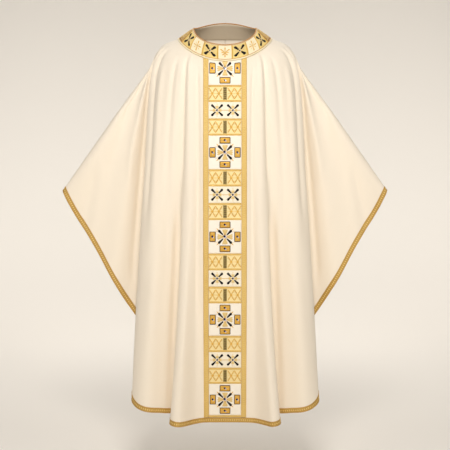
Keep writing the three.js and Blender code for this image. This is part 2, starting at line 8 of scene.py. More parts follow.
import logging
import math
from dataclasses import dataclass, replace
from enum import Enum
from typing import Sequence
import bpy
import numpy as np
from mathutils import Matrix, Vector


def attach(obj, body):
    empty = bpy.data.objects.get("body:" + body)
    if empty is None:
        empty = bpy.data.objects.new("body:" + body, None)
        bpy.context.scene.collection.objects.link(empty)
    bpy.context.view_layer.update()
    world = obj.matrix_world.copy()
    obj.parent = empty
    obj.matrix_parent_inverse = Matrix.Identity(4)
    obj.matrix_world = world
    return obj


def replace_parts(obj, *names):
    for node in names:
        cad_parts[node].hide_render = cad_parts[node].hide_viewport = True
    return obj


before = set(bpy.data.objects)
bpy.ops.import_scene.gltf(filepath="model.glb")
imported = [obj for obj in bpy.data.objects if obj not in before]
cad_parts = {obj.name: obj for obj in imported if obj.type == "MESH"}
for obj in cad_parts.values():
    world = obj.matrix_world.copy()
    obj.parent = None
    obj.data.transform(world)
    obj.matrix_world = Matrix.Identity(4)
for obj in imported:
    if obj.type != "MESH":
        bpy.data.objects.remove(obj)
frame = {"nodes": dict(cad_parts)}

LOG = logging.getLogger("chasuble")
MM = 0.001
Array = np.ndarray


# ---- sizes -----------------------------------------------------------------


@dataclass(frozen=True)
class Ring:
    """A neck ring, in millimetres; point says how pointed its front is, from 0, a round bow."""

    across: float
    deep: float
    front: float
    side: float
    back: float
    point: float


@dataclass(frozen=True)
class GarmentSizes:
    """Driving sizes of the garment, in millimetres."""

    front_depth: float = 1.0
    back_depth: float = 150 / 176
    cloth: float = 1.3
    facing: float = 0.8
    braid_width: float = 17.0
    steepest_slant: float = 0.6
    band_half: float = 71.5
    field_half: float = 54.5
    neck: Ring = Ring(107.5, 103, -16, 54, 84, 0.05)
    edge: Ring = Ring(157, 150, -72, 20, 34, 0.45)
    shoulder_across: float = 249
    shoulder_deep: float = 160
    shoulder_side: float = -65
    shoulder_drop: float = 75
    shoulder_crest: float = 21
    collar_rows: int = 12
    body_rows: int = 140
    braid_rows: int = 4
    column_step: float = 5.5
    fewest_columns: int = 5
    crest_lift: float = 0.72
    curve_samples: int = 1200
    smoothing: int = 6


@dataclass(frozen=True)
class Ripple:
    """Long, low waves laid over the cloth, in millimetres, columns and rows."""

    height: float = 1.6
    passes: tuple[int, int] = (180, 900)
    seed: int = 11
    spare: int = 30
    band_fade: float = 25
    arm_fade: int = 12


@dataclass(frozen=True)
class BandPattern:
    """The pattern repeat down the centre band, in millimetres from the collar down."""

    front_first: float = 27
    back_first: float = 90
    repeat: float = 277.7
    crosses: int = 5
    cross_half: float = 56
    lattice: float = 54.85
    twin_half: float = 28
    twin_spacing: float = 26

    def lattice_middle(self) -> float:
        """Distance from a cross's middle to the middle of the lattice beside it."""
        return self.cross_half + self.lattice / 2


@dataclass(frozen=True)
class FoldLine:
    """One fold line of the drape, from the collar to the free edge.

    Args:
        name: what the line follows.
        collar: angle on the collar edge, in degrees from the centre.
        ring: angle on the ring across the shoulder points.
        path: (out from the centre, forward, up) at three stations.
    """

    name: str
    collar: float
    ring: float
    path: tuple[tuple[float, float, float], ...]


FOLDS = (
    FoldLine("centre", 0, 0, ((0, 176, -400), (0, 152, -850), (0, 88, -1284))),
    FoldLine("braid_inner", 20.3, 12.64, ((54.5, 174, -400), (54.5, 151, -850), (54.5, 89, -1284))),
    FoldLine("band_edge", 27.1, 16.7, ((71.5, 172, -400), (71.5, 150, -850), (71.5, 91, -1284))),
    FoldLine("inner_valley", 33, 20.5, ((86, 166, -400), (93, 142, -850), (98, 98, -1285))),
    FoldLine("inner_ridge", 39.5, 25, ((110, 165, -400), (131, 168, -850), (160, 162, -1285))),
    FoldLine("ridge_wall", 43, 28.5, ((130, 156, -400), (152, 154, -850), (180, 147, -1280))),
    FoldLine("main_valley", 46, 32, ((147, 140, -400), (161, 106, -850), (174, 80, -1261))),
    FoldLine("column_inner", 51, 39, ((180, 142, -400), (193, 114, -850), (211, 88, -1252))),
    FoldLine("column_crest", 57, 48, ((214, 134, -400), (243, 124, -850), (263, 100, -1245))),
    FoldLine("column_outer", 63, 60, ((247, 112, -398), (280, 107, -845), (298, 90, -1232))),
    FoldLine("column_edge", 69, 70, ((267, 80, -394), (298, 75, -830), (320, 64, -1209))),
    FoldLine("column_back", 72, 73.5, ((261, 56, -388), (277, 52, -795), (281, 45, -1152))),
    FoldLine("hidden_fold", 74, 75.5, ((247, 37, -382), (240, 34, -755), (215, 30, -1085))),
    FoldLine("hidden_rise", 76, 77.5, ((259, 20, -372), (266, 18, -690), (260, 15, -1000))),
    FoldLine("wing_valley", 78, 79.5, ((279, 17, -352), (303, 16, -625), (322, 16, -908))),
    FoldLine("wing_ridge", 80.5, 82, ((305, 31, -318), (342, 36, -560), (376, 35, -822))),
    FoldLine("wing_crease", 83.5, 84.5, ((327, 18, -262), (391, 22, -437), (452, 28, -684))),
    FoldLine("wing_face", 86.5, 87, ((342, 20, -225), (432, 24, -392), (516, 18, -582))),
    FoldLine("arm_roll", 88.5, 89, ((340, 11, -201), (447, 12, -354), (554, 8, -511))),
    FoldLine("arm_seam", 90, 90, ((340, 0, -192), (448, 0, -345), (557, 0, -500))),
)


@dataclass(frozen=True)
class Crease:
    """A narrow fold laid over the drape along a run of fold lines.

    Args:
        lines: fold line numbers where it starts and ends.
        shares: shares of the way from the collar to the edge, start and end.
        width: half width of the crease at its start and end, in millimetres.
        depth: height of the crease, below zero for a groove.
    """

    lines: tuple[float, float]
    shares: tuple[float, float]
    width: tuple[float, float]
    depth: float


CREASES = (
    Crease((9.6, 9.0), (0.03, 0.52), (7, 15), -7.5),
    Crease((8.7, 8.3), (0.06, 0.60), (10, 22), 4.5),
    Crease((6.1, 5.6), (0.00, 0.40), (7, 13), -6.0),
    Crease((5.2, 4.2), (0.00, 0.45), (9, 17), 4.5),
    Crease((3.2, 3.0), (0.02, 0.75), (6, 11), -4.0),
    Crease((7.5, 7.0), (0.02, 0.70), (8, 19), -4.5),
    Crease((10.6, 10.2), (0.02, 0.40), (8, 15), 4.0),
    Crease((11.7, 12.0), (0.03, 0.60), (8, 15), -9.0),
    Crease((6.0, 6.0), (0.40, 1.0), (13, 21), -16.0),
    Crease((7.9, 8.1), (0.55, 1.0), (20, 34), 7.0),
    Crease((16.3, 16.9), (0.06, 0.55), (9, 28), -7.0),
    Crease((15.3, 15.0), (0.06, 0.65), (10, 28), 4.0),
    Crease((13.9, 14.0), (0.10, 0.95), (12, 24), -8.0),
    Crease((16.8, 16.5), (0.70, 1.0), (22, 34), -6.0),
    Crease((17.6, 17.5), (0.40, 1.0), (20, 36), 4.0),
)


class Side(Enum):
    """Front or back of the garment, as a sign along Y."""

    FRONT = -1
    BACK = 1

    @property
    def word(self) -> str:
        """Name used in piece and node names."""
        return self.name.lower()


# ---- the draped surface -------------------------------------------------------


def catmull_rom(points: Array, shares: Array) -> Array:
    """Centripetal Catmull-Rom curve through points.

    Args:
        points: (count, ..., 3) control points along the first axis.
        shares: parameter values from 0 to 1 over all the segments.

    Returns:
        (len(shares), ..., 3) points on the curve.
    """
    first = 2 * points[0] - points[1]
    last = 2 * points[-1] - points[-2]
    padded = np.concatenate([first[None], points, last[None]])
    segments = len(points) - 1
    spot = np.clip(shares * segments, 0, segments - 1e-9)
    index = spot.astype(int)
    weight = (spot - index).reshape(-1, *([1] * (points.ndim - 1)))
    p0, p1, p2, p3 = (padded[index + k] for k in range(4))

    def knot(a: Array, b: Array) -> Array:
        """Centripetal spacing between two neighbouring points."""
        return np.sqrt(np.linalg.norm(b - a, axis=-1, keepdims=True)).clip(1e-4)

    d0, d1, d2 = knot(p0, p1), knot(p1, p2), knot(p2, p3)
    start = ((p1 - p0) / d0 - (p2 - p0) / (d0 + d1) + (p2 - p1) / d1) * d1
    end = ((p2 - p1) / d1 - (p3 - p1) / (d1 + d2) + (p3 - p2) / d2) * d1
    c2 = -3 * p1 + 3 * p2 - 2 * start - end
    c3 = 2 * p1 - 2 * p2 + start + end
    return p1 + weight * (start + weight * (c2 + weight * c3))


def run_length(points: Array) -> Array:
    """Distance along a polyline, starting from zero."""
    steps = np.linalg.norm(np.diff(points, axis=0), axis=-1)
    return np.concatenate([np.zeros((1, *steps.shape[1:])), np.cumsum(steps, axis=0)])


def resample(points: Array, distances: Array) -> Array:
    """Points at given distances along one polyline."""
    along = run_length(points)
    return np.stack([np.interp(distances, along, points[:, k]) for k in range(3)], axis=1)


def smooth(values: Array, passes: int, axis: int) -> Array:
    """Binomial smoothing along one axis, with the ends kept.

    Args:
        values: the table to smooth.
        passes: how often it is smoothed.
        axis: the axis that it is smoothed along.

    Returns:
        A smoothed copy.
    """
    values = np.moveaxis(values, axis, 0).copy()
    for _ in range(passes):
        values[1:-1] = 0.25 * values[:-2] + 0.5 * values[1:-1] + 0.25 * values[2:]
    return np.moveaxis(values, 0, axis)


def noise_field(shape: tuple[int, int], passes: tuple[int, int], seed: int) -> Array:
    """Smooth random field with unit spread.

    Args:
        shape: columns and rows.
        passes: smoothing passes along each axis.
        seed: start of the random draw.

    Returns:
        The field, as a table of the given shape.
    """
    field_values = np.random.default_rng(seed).standard_normal(shape)
    field_values = smooth(smooth(field_values, passes[0], 0), passes[1], 1)
    return field_values / field_values.std()


class Drape:
    """The draped garment as a closed run of columns round the body.

    Column 0 is the centre front; the columns go over the arm on +X to the centre
    back and return over the other arm.  Rows go from the neck to the free edge.
    """

    CREASE_START = 0.06
    CREASE_END = 0.12
    BACK_CREASES = 0.8

    def __init__(self, sizes: GarmentSizes, ripple: Ripple) -> None:
        """Builds the points and normals of the whole surface."""
        self.sizes = sizes
        self.ripple = ripple
        shares, self.lines = self._column_shares()
        front = self._quarter(Side.FRONT, shares)
        back = self._quarter(Side.BACK, shares)
        mirror = np.array([-1.0, 1.0, 1.0])
        right = np.concatenate([front, back[:-1][::-1]])
        left = right[1:-1][::-1] * mirror
        self.points = np.concatenate([right, left])
        self.quarter = len(front) - 1
        self._soft_waves()
        self.normals = self._surface_normals()

    @property
    def collar_row(self) -> int:
        """Row of the collar's lower edge."""
        return self.sizes.collar_rows

    @property
    def braid_row(self) -> int:
        """Row where the edge braid starts."""
        return self.points.shape[1] - 1 - self.sizes.braid_rows

    @property
    def around(self) -> int:
        """Number of columns round the garment."""
        return len(self.points)

    def columns(self, start: int, stop: int) -> Array:
        """Column numbers from start to stop, both included, wrapped round."""
        return np.arange(start, stop + 1) % self.around

    def _column_shares(self) -> tuple[Array, Array]:
        """Spreads the columns between the fold lines."""
        ends = [np.array(fold.path[-1]) for fold in FOLDS]
        lines: list[float] = []
        for index in range(len(FOLDS) - 1):
            gap = float(np.linalg.norm(ends[index + 1] - ends[index]))
            parts = max(self.sizes.fewest_columns, math.ceil(gap / self.sizes.column_step))
            lines += [index + part / parts for part in range(parts)]
        lines.append(len(FOLDS) - 1)
        numbers = np.array(lines)
        return (numbers + 1) / (len(FOLDS) + 1), numbers

    @staticmethod
    def _ring_point(ring: Ring, degrees: float, side: Side) -> Array:
        """Finds one point of a neck ring."""
        angle = math.radians(degrees)
        end = ring.front if side is Side.FRONT else ring.back
        point = ring.point if side is Side.FRONT else 1.0
        rise = point * math.sin(angle) ** 2 + (1 - point) * (1 - math.cos(angle))
        across = ring.across * math.sin(angle)
        deep = side.value * ring.deep * math.cos(angle)
        return np.array([across, deep, end + (ring.side - end) * rise])

    def _braid_depths(self, side: Side) -> Array:
        """Lengthens the edge braid where the edge slants, so that it is even across its run."""
        share = self.sizes.front_depth if side is Side.FRONT else self.sizes.back_depth
        scale = np.array([1, side.value * share, 1])
        ends = np.array([fold.path[-1] for fold in FOLDS]) * scale
        above = np.array([fold.path[-2] for fold in FOLDS]) * scale
        run = np.concatenate([[ends[1] * [-1, 1, 1]], ends, [ends[-2] * [1, -1, 1]]])
        edge = run[2:] - run[:-2]
        down = ends - above
        slant = np.linalg.norm(np.cross(edge, down), axis=1)
        slant /= np.linalg.norm(edge, axis=1) * np.linalg.norm(down, axis=1)
        return self.sizes.braid_width / np.maximum(slant, self.sizes.steepest_slant)

    def _fold_rows(self, fold: FoldLine, side: Side, braid_depth: float) -> Array:
        """Runs one fold line from the neck to the free edge."""
        sizes = self.sizes
        share = sizes.front_depth if side is Side.FRONT else sizes.back_depth
        depth = side.value * share
        neck = self._ring_point(sizes.neck, fold.collar, side)
        edge = self._ring_point(sizes.edge, fold.collar, side)
        angle = math.radians(fold.ring)
        ring = np.array([
            sizes.shoulder_across * math.sin(angle),
            depth * sizes.shoulder_deep * math.cos(angle),
            sizes.shoulder_side - sizes.shoulder_drop * math.cos(angle) ** 2,
        ])
        lift = sizes.crest_lift * sizes.shoulder_crest * math.sin(math.radians(fold.collar)) ** 4
        crest = 0.5 * (edge + ring) + np.array([lift, 0, lift])
        path = [np.array([out, forward * depth, up]) for out, forward, up in fold.path]
        controls = np.array([edge, crest, ring, *path])
        curve = catmull_rom(controls, np.linspace(0, 1, sizes.curve_samples))
        total = run_length(curve)[-1]
        body = np.linspace(0, total - braid_depth, sizes.body_rows + 1)
        braid = np.linspace(total - braid_depth, total, sizes.braid_rows + 1)
        below = resample(curve, np.concatenate([body, braid[1:]]))
        steps = np.linspace(0, 1, sizes.collar_rows, endpoint=False)[:, None]
        return np.concatenate([neck + (edge - neck) * steps, below])

    def _quarter(self, side: Side, shares: Array) -> Array:
        """Makes one quarter, from the centre to the arm seam."""
        depths = self._braid_depths(side)
        lines = np.array([self._fold_rows(fold, side, float(d)) for fold, d in zip(FOLDS, depths)])
        before = lines[1] * [-1, 1, 1]
        after = lines[-2] * [1, -1, 1]
        columns = catmull_rom(np.concatenate([before[None], lines, after[None]]), shares)
        columns[0, :, 0] = 0
        columns[-1, :, 1] = 0
        columns = smooth(columns, self.sizes.smoothing, 0)
        return self._add_creases(columns, side)

    def _add_creases(self, columns: Array, side: Side) -> Array:
        """Lays the narrow creases over one quarter."""
        rows = columns.shape[1]
        first = self.sizes.collar_rows
        share = np.clip((np.arange(rows) - first) / (rows - 1 - first), 0, 1)
        across = run_length(columns)
        height = np.zeros(columns.shape[:2])
        strength = 1.0 if side is Side.FRONT else self.BACK_CREASES
        for crease in CREASES:
            line = np.interp(share, crease.shares, crease.lines)
            middle = np.array([
                np.interp(line[row], self.lines, across[:, row]) for row in range(rows)
            ])
            start, end = crease.shares
            width = np.interp(share, crease.shares, crease.width)[None, :]
            if end >= 1:
                fade = np.clip((share - start) / self.CREASE_END, 0, 1)
            else:
                fade = np.clip((share - start) / self.CREASE_START, 0, 1)
                fade = fade * np.clip((end - share) / self.CREASE_END, 0, 1)
            fade = fade * fade * (3 - 2 * fade)
            bell = np.exp(-(((across - middle) / width) ** 2))
            height += strength * crease.depth * bell * fade
        return columns + height[..., None] * self._rough_normals(columns)

    @staticmethod
    def _rough_normals(columns: Array) -> Array:
        """Finds the normals of one open grid, pointing away from the body."""
        across = np.gradient(columns, axis=0)
        down = np.gradient(columns, axis=1)
        normals = np.cross(down, across)
        outward = np.sign(columns[0, columns.shape[1] // 2, 1])
        middle = normals[0, columns.shape[1] // 2, 1]
        normals *= np.sign(middle * outward)
        return normals / np.linalg.norm(normals, axis=-1, keepdims=True).clip(1e-9)

    def _soft_waves(self) -> None:
        """Adds long, low ripples so that no fold is perfectly regular."""
        sizes = self.ripple
        normals = self._surface_normals()
        rows = self.points.shape[1]
        spare = sizes.spare
        ripple = noise_field((self.around + 2 * spare, rows), sizes.passes, sizes.seed)[spare:-spare]
        share = np.clip((np.arange(rows) - self.collar_row) / (rows - self.collar_row), 0, 1)
        amount = sizes.height * np.sqrt(share)[None, :]
        x = np.abs(self.points[..., 0])
        off_band = np.clip((x - self.sizes.band_half) / sizes.band_fade, 0, 1)
        seam = self.quarter
        column = np.arange(self.around)
        off_arm = np.minimum(np.abs(column - seam), np.abs(column - 3 * seam)) / sizes.arm_fade
        ripple = ripple * np.clip(off_arm, 0, 1)[:, None]
        self.points += (ripple * amount * off_band)[..., None] * normals
        for arm in (seam, 3 * seam):
            self.points[arm, :, 1] = 0
        for centre in (0, 2 * seam):
            self.points[centre, :, 0] = 0

    def _surface_normals(self) -> Array:
        """Finds the outward direction at every point."""
        points = self.points
        across = np.roll(points, -1, axis=0) - np.roll(points, 1, axis=0)
        down = np.gradient(points, axis=1)
        normals = np.cross(down, across)
        seam = len(points) // 4
        normals[[0, 2 * seam], :, 0] = 0
        normals[[seam, 3 * seam], :, 1] = 0
        normals /= np.linalg.norm(normals, axis=-1, keepdims=True).clip(1e-9)
        if normals[0, points.shape[1] // 2, 1] > 0:
            normals *= -1
        return normals


BAND_TOP = -1.0


class Patch:
    """A piece of surface with flat coordinates, sampled by straight interpolation."""

    CROWN_REACH = 24.0

    def __init__(self, a: Array, b: Array, points: Array, normals: Array,
                 crown: Array | None = None) -> None:
        """Stores the table."""
        self.crown = crown
        self.a = a
        self.b = b
        self.points = points
        self.normals = normals

    def place(self, local: Array) -> Array:
        """Lays flat points on the surface.

        Args:
            local: (count, 3) coordinates across, up and out.

        Returns:
            (count, 3) positions in millimetres.
        """
        up = local[:, 1]
        if self.crown is not None:
            share = np.clip(1 + (up - BAND_TOP) / self.CROWN_REACH, 0, 1)
            up = up + share * np.interp(local[:, 0], self.a, self.crown)
        i, s = self._cell(self.a, local[:, 0])
        j, t = self._cell(self.b, up)

        def mix(table: Array) -> Array:
            """Weighs the four corners of each point's cell."""
            low = table[i, j] * (1 - s) + table[i + 1, j] * s
            high = table[i, j + 1] * (1 - s) + table[i + 1, j + 1] * s
            return low * (1 - t) + high * t

        normal = mix(self.normals)
        normal /= np.linalg.norm(normal, axis=1, keepdims=True)
        return mix(self.points) + local[:, 2:] * normal

    @staticmethod
    def _cell(axis: Array, values: Array) -> tuple[Array, Array]:
        """Finds the cell that each value falls in."""
        index = np.clip(np.searchsorted(axis, values) - 1, 0, len(axis) - 2)
        share = (values - axis[index]) / (axis[index + 1] - axis[index])
        return index, share[:, None]


class PatchMaker:
    """Makes the flat-coordinate patches that the trims are laid on.

    The fans are the angles, in degrees from the centre front, of the collar's panel
    seams at the neck and at its lower edge.  Distances are in millimetres.
    """

    NECK_FAN = (12.2, 38.0, 62.5, 83.0, 90.0)
    EDGE_FAN = (8.6, 29.5, 48.0, 68.5, 90.0)
    COLLAR_SAMPLES = 721
    COLLAR_NORMAL_ROW = 4
    BAND_SAMPLES = 71
    BAND_SPARE = 4
    COLUMN_SPARE = 6
    TOP_SPARE = 21
    DROP_STEP = 3.0
    EDGE_SPARE = 8.0

    def __init__(self, drape: Drape) -> None:
        """Keeps the garment's surface."""
        self.drape = drape

    def band(self, side: Side) -> Patch:
        """Centre band: across from the centre line, up from the collar edge (below zero).

        Args:
            side: front or back.

        Returns:
            The band's patch.
        """
        drape = self.drape
        home = 0 if side is Side.FRONT else 2 * drape.quarter
        top = drape.collar_row
        half = drape.sizes.band_half
        from_centre = np.abs(drape.points[: drape.quarter, -1, 0])
        reach = int(np.searchsorted(from_centre, half + self.COLUMN_SPARE)) + 1
        numbers = drape.columns(home - reach, home + reach)
        points = drape.points[numbers]
        normals = drape.normals[numbers]
        centre = drape.points[home, top:]
        along = run_length(centre)
        drops = np.arange(-self.TOP_SPARE, along[-1], self.DROP_STEP)
        levels = np.interp(drops, along, centre[:, 2]) - np.minimum(drops, 0)
        grid = np.empty((len(numbers), len(drops), 6))
        for c in range(len(numbers)):
            height = points[c, ::-1, 2]
            for k in range(3):
                grid[c, :, k] = np.interp(levels, height, points[c, ::-1, k])
                grid[c, :, 3 + k] = np.interp(levels, height, normals[c, ::-1, k])
        sign = 1 if side is Side.FRONT else -1
        across = np.linspace(-half - self.BAND_SPARE, half + self.BAND_SPARE, self.BAND_SAMPLES)
        table = np.empty((len(across), len(drops), 6))
        for r in range(len(drops)):
            x = sign * grid[:, r, 0]
            for k in range(6):
                table[:, r, k] = np.interp(across, x, grid[:, r, k])
        table = table[:, ::-1]
        rim = points[:, top]
        crown = np.interp(across, sign * rim[:, 0], rim[:, 2] - centre[0, 2])
        return Patch(across, -drops[::-1], table[..., :3], table[..., 3:], crown)

    def collar(self, sizes: "CollarSizes") -> Patch:
        """Collar: across from the centre front, up from the lower edge.

        Args:
            sizes: the collar's sizes.

        Returns:
            The collar's patch, which goes all the way round.
        """
        drape = self.drape
        reach = sizes.panels / 2 * sizes.pitch
        numbers = np.arange(-drape.around // 2, drape.around // 2 + 1)
        columns = numbers % drape.around
        ring = drape.points[columns, drape.collar_row]
        edge = drape.sizes.edge
        angle = np.unwrap(np.arctan2(ring[:, 0] / edge.across, -ring[:, 1] / edge.deep))
        angle = np.degrees(angle - angle[len(numbers) // 2])
        rows = np.arange(drape.collar_row, -1, -1)
        b = np.linspace(0, sizes.width, len(rows))
        points = drape.points[columns][:, rows]
        normals = drape.normals[columns, drape.collar_row - self.COLLAR_NORMAL_ROW]
        a = np.linspace(-reach, reach, self.COLLAR_SAMPLES)
        low = self._fan(a / sizes.pitch, self.EDGE_FAN)
        high = self._fan(a / sizes.pitch, self.NECK_FAN)
        spots = np.empty((len(a), len(rows), 3))
        outs = np.empty((len(a), len(rows), 3))
        for r, share in enumerate(b / sizes.width):
            turns = low + (high - low) * share
            for k in range(3):
                spots[:, r, k] = np.interp(turns, angle, points[:, r, k])
                outs[:, r, k] = np.interp(turns, angle, normals[:, k])
        return Patch(a, b, spots, outs)

    @staticmethod
    def _fan(panels: Array, quarter: tuple[float, ...]) -> Array:
        """Turns panel positions into angles round the collar, the same in each quarter."""
        first = np.array([0.0, *quarter])
        whole = np.concatenate([first, 180 - first[:-1][::-1]])
        last = len(quarter) - 1
        marks = np.array([0, *(np.arange(last) + 0.5), last])
        marks = np.concatenate([marks, 2 * last - marks[:-1][::-1]])
        return np.sign(panels) * np.interp(np.abs(panels), marks, whole)

    def edge(self, side: Side) -> Patch:
        """Free edge: along it from the centre line, up from the very edge.

        Args:
            side: front or back.

        Returns:
            The edge's patch.
        """
        drape = self.drape
        home = 0 if side is Side.FRONT else 2 * drape.quarter
        numbers = drape.columns(home - drape.quarter, home + drape.quarter)
        rows = np.arange(drape.points.shape[1] - 1, drape.braid_row - 2, -1)
        points = drape.points[numbers][:, rows]
        along = run_length(points[:, 2])
        along -= along[len(numbers) // 2]
        step = drape.sizes.braid_width / drape.sizes.braid_rows
        up = np.arange(drape.sizes.braid_rows + 1) * step
        up = np.concatenate([up, [up[-1] + self.EDGE_SPARE]])
        normals = drape.normals[numbers][:, rows]
        return Patch(along, up, points, normals)


# ---- meshes built from flat shapes ------------------------------------------------


class Shape:
    """Vertices, faces and flat coordinates of one piece, before it is placed."""

    DOME_SHRINK = 0.8
    GEM_RINGS = ((1.0, 0.0, 0.0), (1.0, 0.35, 0.0), (0.62, 1.0, 0.5))

    def __init__(self) -> None:
        """Starts empty."""
        self.verts: list[Array] = []
        self.faces: list[tuple[int, ...]] = []
        self.flats: list[Array] = []
        self.count = 0

    def add(self, verts: Array, faces: Sequence[tuple[int, ...]], flats: Array | None = None) -> None:
        """Adds vertices and faces.

        Args:
            verts: (count, 3) coordinates across, up and out.
            faces: vertex numbers of each face, from zero.
            flats: flat coordinates for the shader, or none for across and up.
        """
        self.faces += [tuple(self.count + int(i) for i in face) for face in faces]
        self.verts.append(np.asarray(verts, float))
        self.flats.append(np.asarray(verts if flats is None else flats, float)[:, :2])
        self.count += len(verts)

    def grid(self, across: Array, up: Array, low: float, top: Array, closed: bool = True) -> None:
        """A slab over a rectangle of cells, with its own top heights.

        Args:
            across: rising coordinates.
            up: rising coordinates.
            low: height of the underside.
            top: (len(across), len(up)) heights of the top.
            closed: whether the underside and rim are made.
        """
        na, nb = len(across), len(up)
        x, y = np.meshgrid(across, up, indexing="ij")
        upper = np.stack([x, y, top], axis=-1).reshape(-1, 3)
        number = np.arange(na * nb).reshape(na, nb)
        quads = np.stack([number[:-1, :-1], number[1:, :-1], number[1:, 1:], number[:-1, 1:]], axis=-1)
        faces = [tuple(q) for q in quads.reshape(-1, 4)]
        if not closed:
            self.add(upper, faces)
            return
        lower = upper.copy()
        lower[:, 2] = low
        base = na * nb
        faces += [tuple(base + i for i in q[::-1]) for q in quads.reshape(-1, 4)]
        rim = [*number[:, 0], *number[-1, 1:], *number[-2::-1, -1], *number[0, -2:0:-1]]
        for i, here in enumerate(rim):
            after = rim[(i + 1) % len(rim)]
            faces.append((here, base + here, base + after, after))
        self.add(np.concatenate([upper, lower]), faces)

    def tube(self, path: Array, radius: float | Array, sides: int = 6, closed: bool = False) -> None:
        """A round cord along a path in flat coordinates.

        Args:
            path: (count, 3) middle line.
            radius: the cord's radius.
            sides: sides of its section.
            closed: whether the end meets the start.
        """
        path = np.asarray(path, float)
        count = len(path)
        if closed:
            tangent = np.roll(path, -1, axis=0) - np.roll(path, 1, axis=0)
        else:
            tangent = np.gradient(path, axis=0)
        tangent /= np.linalg.norm(tangent, axis=1, keepdims=True).clip(1e-9)
        up = np.array([0.0, 0.0, 1.0]) - tangent * tangent[:, 2:]
        up /= np.linalg.norm(up, axis=1, keepdims=True).clip(1e-9)
        beside = np.cross(tangent, up)
        turn = np.arange(sides) * 2 * math.pi / sides
        radii = np.broadcast_to(np.asarray(radius, float), (count,))[:, None, None]
        ring = beside[:, None] * np.cos(turn)[None, :, None] + up[:, None] * np.sin(turn)[None, :, None]
        verts = (path[:, None] + radii * ring).reshape(-1, 3)
        faces = []
        for i in range(count if closed else count - 1):
            nxt = (i + 1) % count
            for k in range(sides):
                after = (k + 1) % sides
                faces.append((i * sides + k, i * sides + after, nxt * sides + after, nxt * sides + k))
        if not closed:
            faces.append(tuple(range(sides))[::-1])
            faces.append(tuple((count - 1) * sides + k for k in range(sides)))
        along = run_length(path)
        flats = np.stack([
            np.repeat(along, sides), np.tile(turn * float(np.mean(radii)), count)], axis=1)
        self.add(verts, faces, flats)

    def dome(self, outline: Array, low: float, rim: float, crown: float, rings: int = 3,
             middle: tuple[float, float] | None = None) -> None:
        """A cushion shape over an outline that is seen whole from its middle.

        Args:
            outline: (count, 2) points, anticlockwise.
            low: height of the base.
            rim: height of the rim.
            crown: height at the middle.
            rings: rings between rim and middle.
            middle: the middle point, or none for the mean.
        """
        outline = np.asarray(outline, float)
        heart = outline.mean(axis=0) if middle is None else np.asarray(middle, float)
        count = len(outline)
        levels = [np.c_[outline, np.full(count, low)]]
        for ring in range(rings + 1):
            share = math.sin(0.5 * math.pi * ring / (rings + 1))
            size = math.cos(0.5 * math.pi * ring / (rings + 1)) ** self.DOME_SHRINK
            height = rim + (crown - rim) * share
            levels.append(np.c_[heart + (outline - heart) * size, np.full(count, height)])
        verts = np.concatenate([*levels, [[*heart, crown]], [[*heart, low]]])
        faces = []
        for level in range(len(levels) - 1):
            for i in range(count):
                after = (i + 1) % count
                a, b = level * count, (level + 1) * count
                faces.append((a + i, a + after, b + after, b + i))
        tip, foot = len(verts) - 2, len(verts) - 1
        last = (len(levels) - 1) * count
        for i in range(count):
            after = (i + 1) % count
            faces.append((last + i, last + after, tip))
            faces.append((after, i, foot))
        self.add(verts, faces)

    def gem(self, x: float, y: float, radius: float, low: float, tall: float, facets: int = 8) -> None:
        """A faceted stone with a flat table.

        Args:
            x: its middle across.
            y: its middle up.
            radius: its radius at the girdle.
            low: height of the base.
            tall: height over the base.
            facets: sides of its outline.
        """
        verts: list[list[float]] = []
        for size, height, shift in self.GEM_RINGS:
            for k in range(facets):
                angle = 2 * math.pi * (k + shift) / facets
                px = radius * size * math.cos(angle)
                py = radius * size * math.sin(angle)
                verts.append([x + px, y + py, low + tall * height])
        faces: list[tuple[int, ...]] = [tuple(range(facets))[::-1]]
        for k in range(facets):
            after = (k + 1) % facets
            faces.append((k, after, facets + after, facets + k))
            faces.append((facets + k, facets + after, 2 * facets + k))
            faces.append((facets + after, 2 * facets + after, 2 * facets + k))
        faces.append(tuple(2 * facets + k for k in range(facets)))
        self.add(np.array(verts), faces)


def rounded_rectangle(x: float, y: float, wide: float, tall: float, corner: float) -> Array:
    """Outline of a rectangle with round corners.

    Args:
        x: its middle across.
        y: its middle up.
        wide: its width.
        tall: its height.
        corner: radius of each corner.

    Returns:
        (count, 2) points, anticlockwise.
    """
    steps = 4
    points = []
    for k, (sx, sy) in enumerate(((1, 1), (-1, 1), (-1, -1), (1, -1))):
        for step in range(steps + 1):
            angle = (k + step / steps) * math.pi / 2
            points.append((
                x + sx * (wide / 2 - corner) + corner * math.cos(angle),
                y + sy * (tall / 2 - corner) + corner * math.sin(angle),
            ))
    return np.array(points)


# ---- looks ---------------------------------------------------------------------


@dataclass(frozen=True)
class Finish:
    """Surface values of one material."""

    name: str
    slot: str
    colour: tuple[float, float, float]
    second: tuple[float, float, float]
    roughness: float
    metallic: float = 0.0
    sheen: float = 0.0
    weave: float = 0.0
    weave_scale: float = 900.0
    weave_ratio: float = 1.0
    mottle: float = 0.0
    specular: float = 0.5


def srgb(red: float, green: float, blue: float) -> tuple[float, float, float]:
    """Turns screen values into a linear colour.

    Args:
        red: 0 to 255.
        green: 0 to 255.
        blue: 0 to 255.

    Returns:
        Red, green and blue from 0 to 1.
    """
    def linear(value: float) -> float:
        """One channel, by the standard curve."""
        share = value / 255
        return share / 12.92 if share <= 0.04045 else ((share + 0.055) / 1.055) ** 2.4
    return linear(red), linear(green), linear(blue)


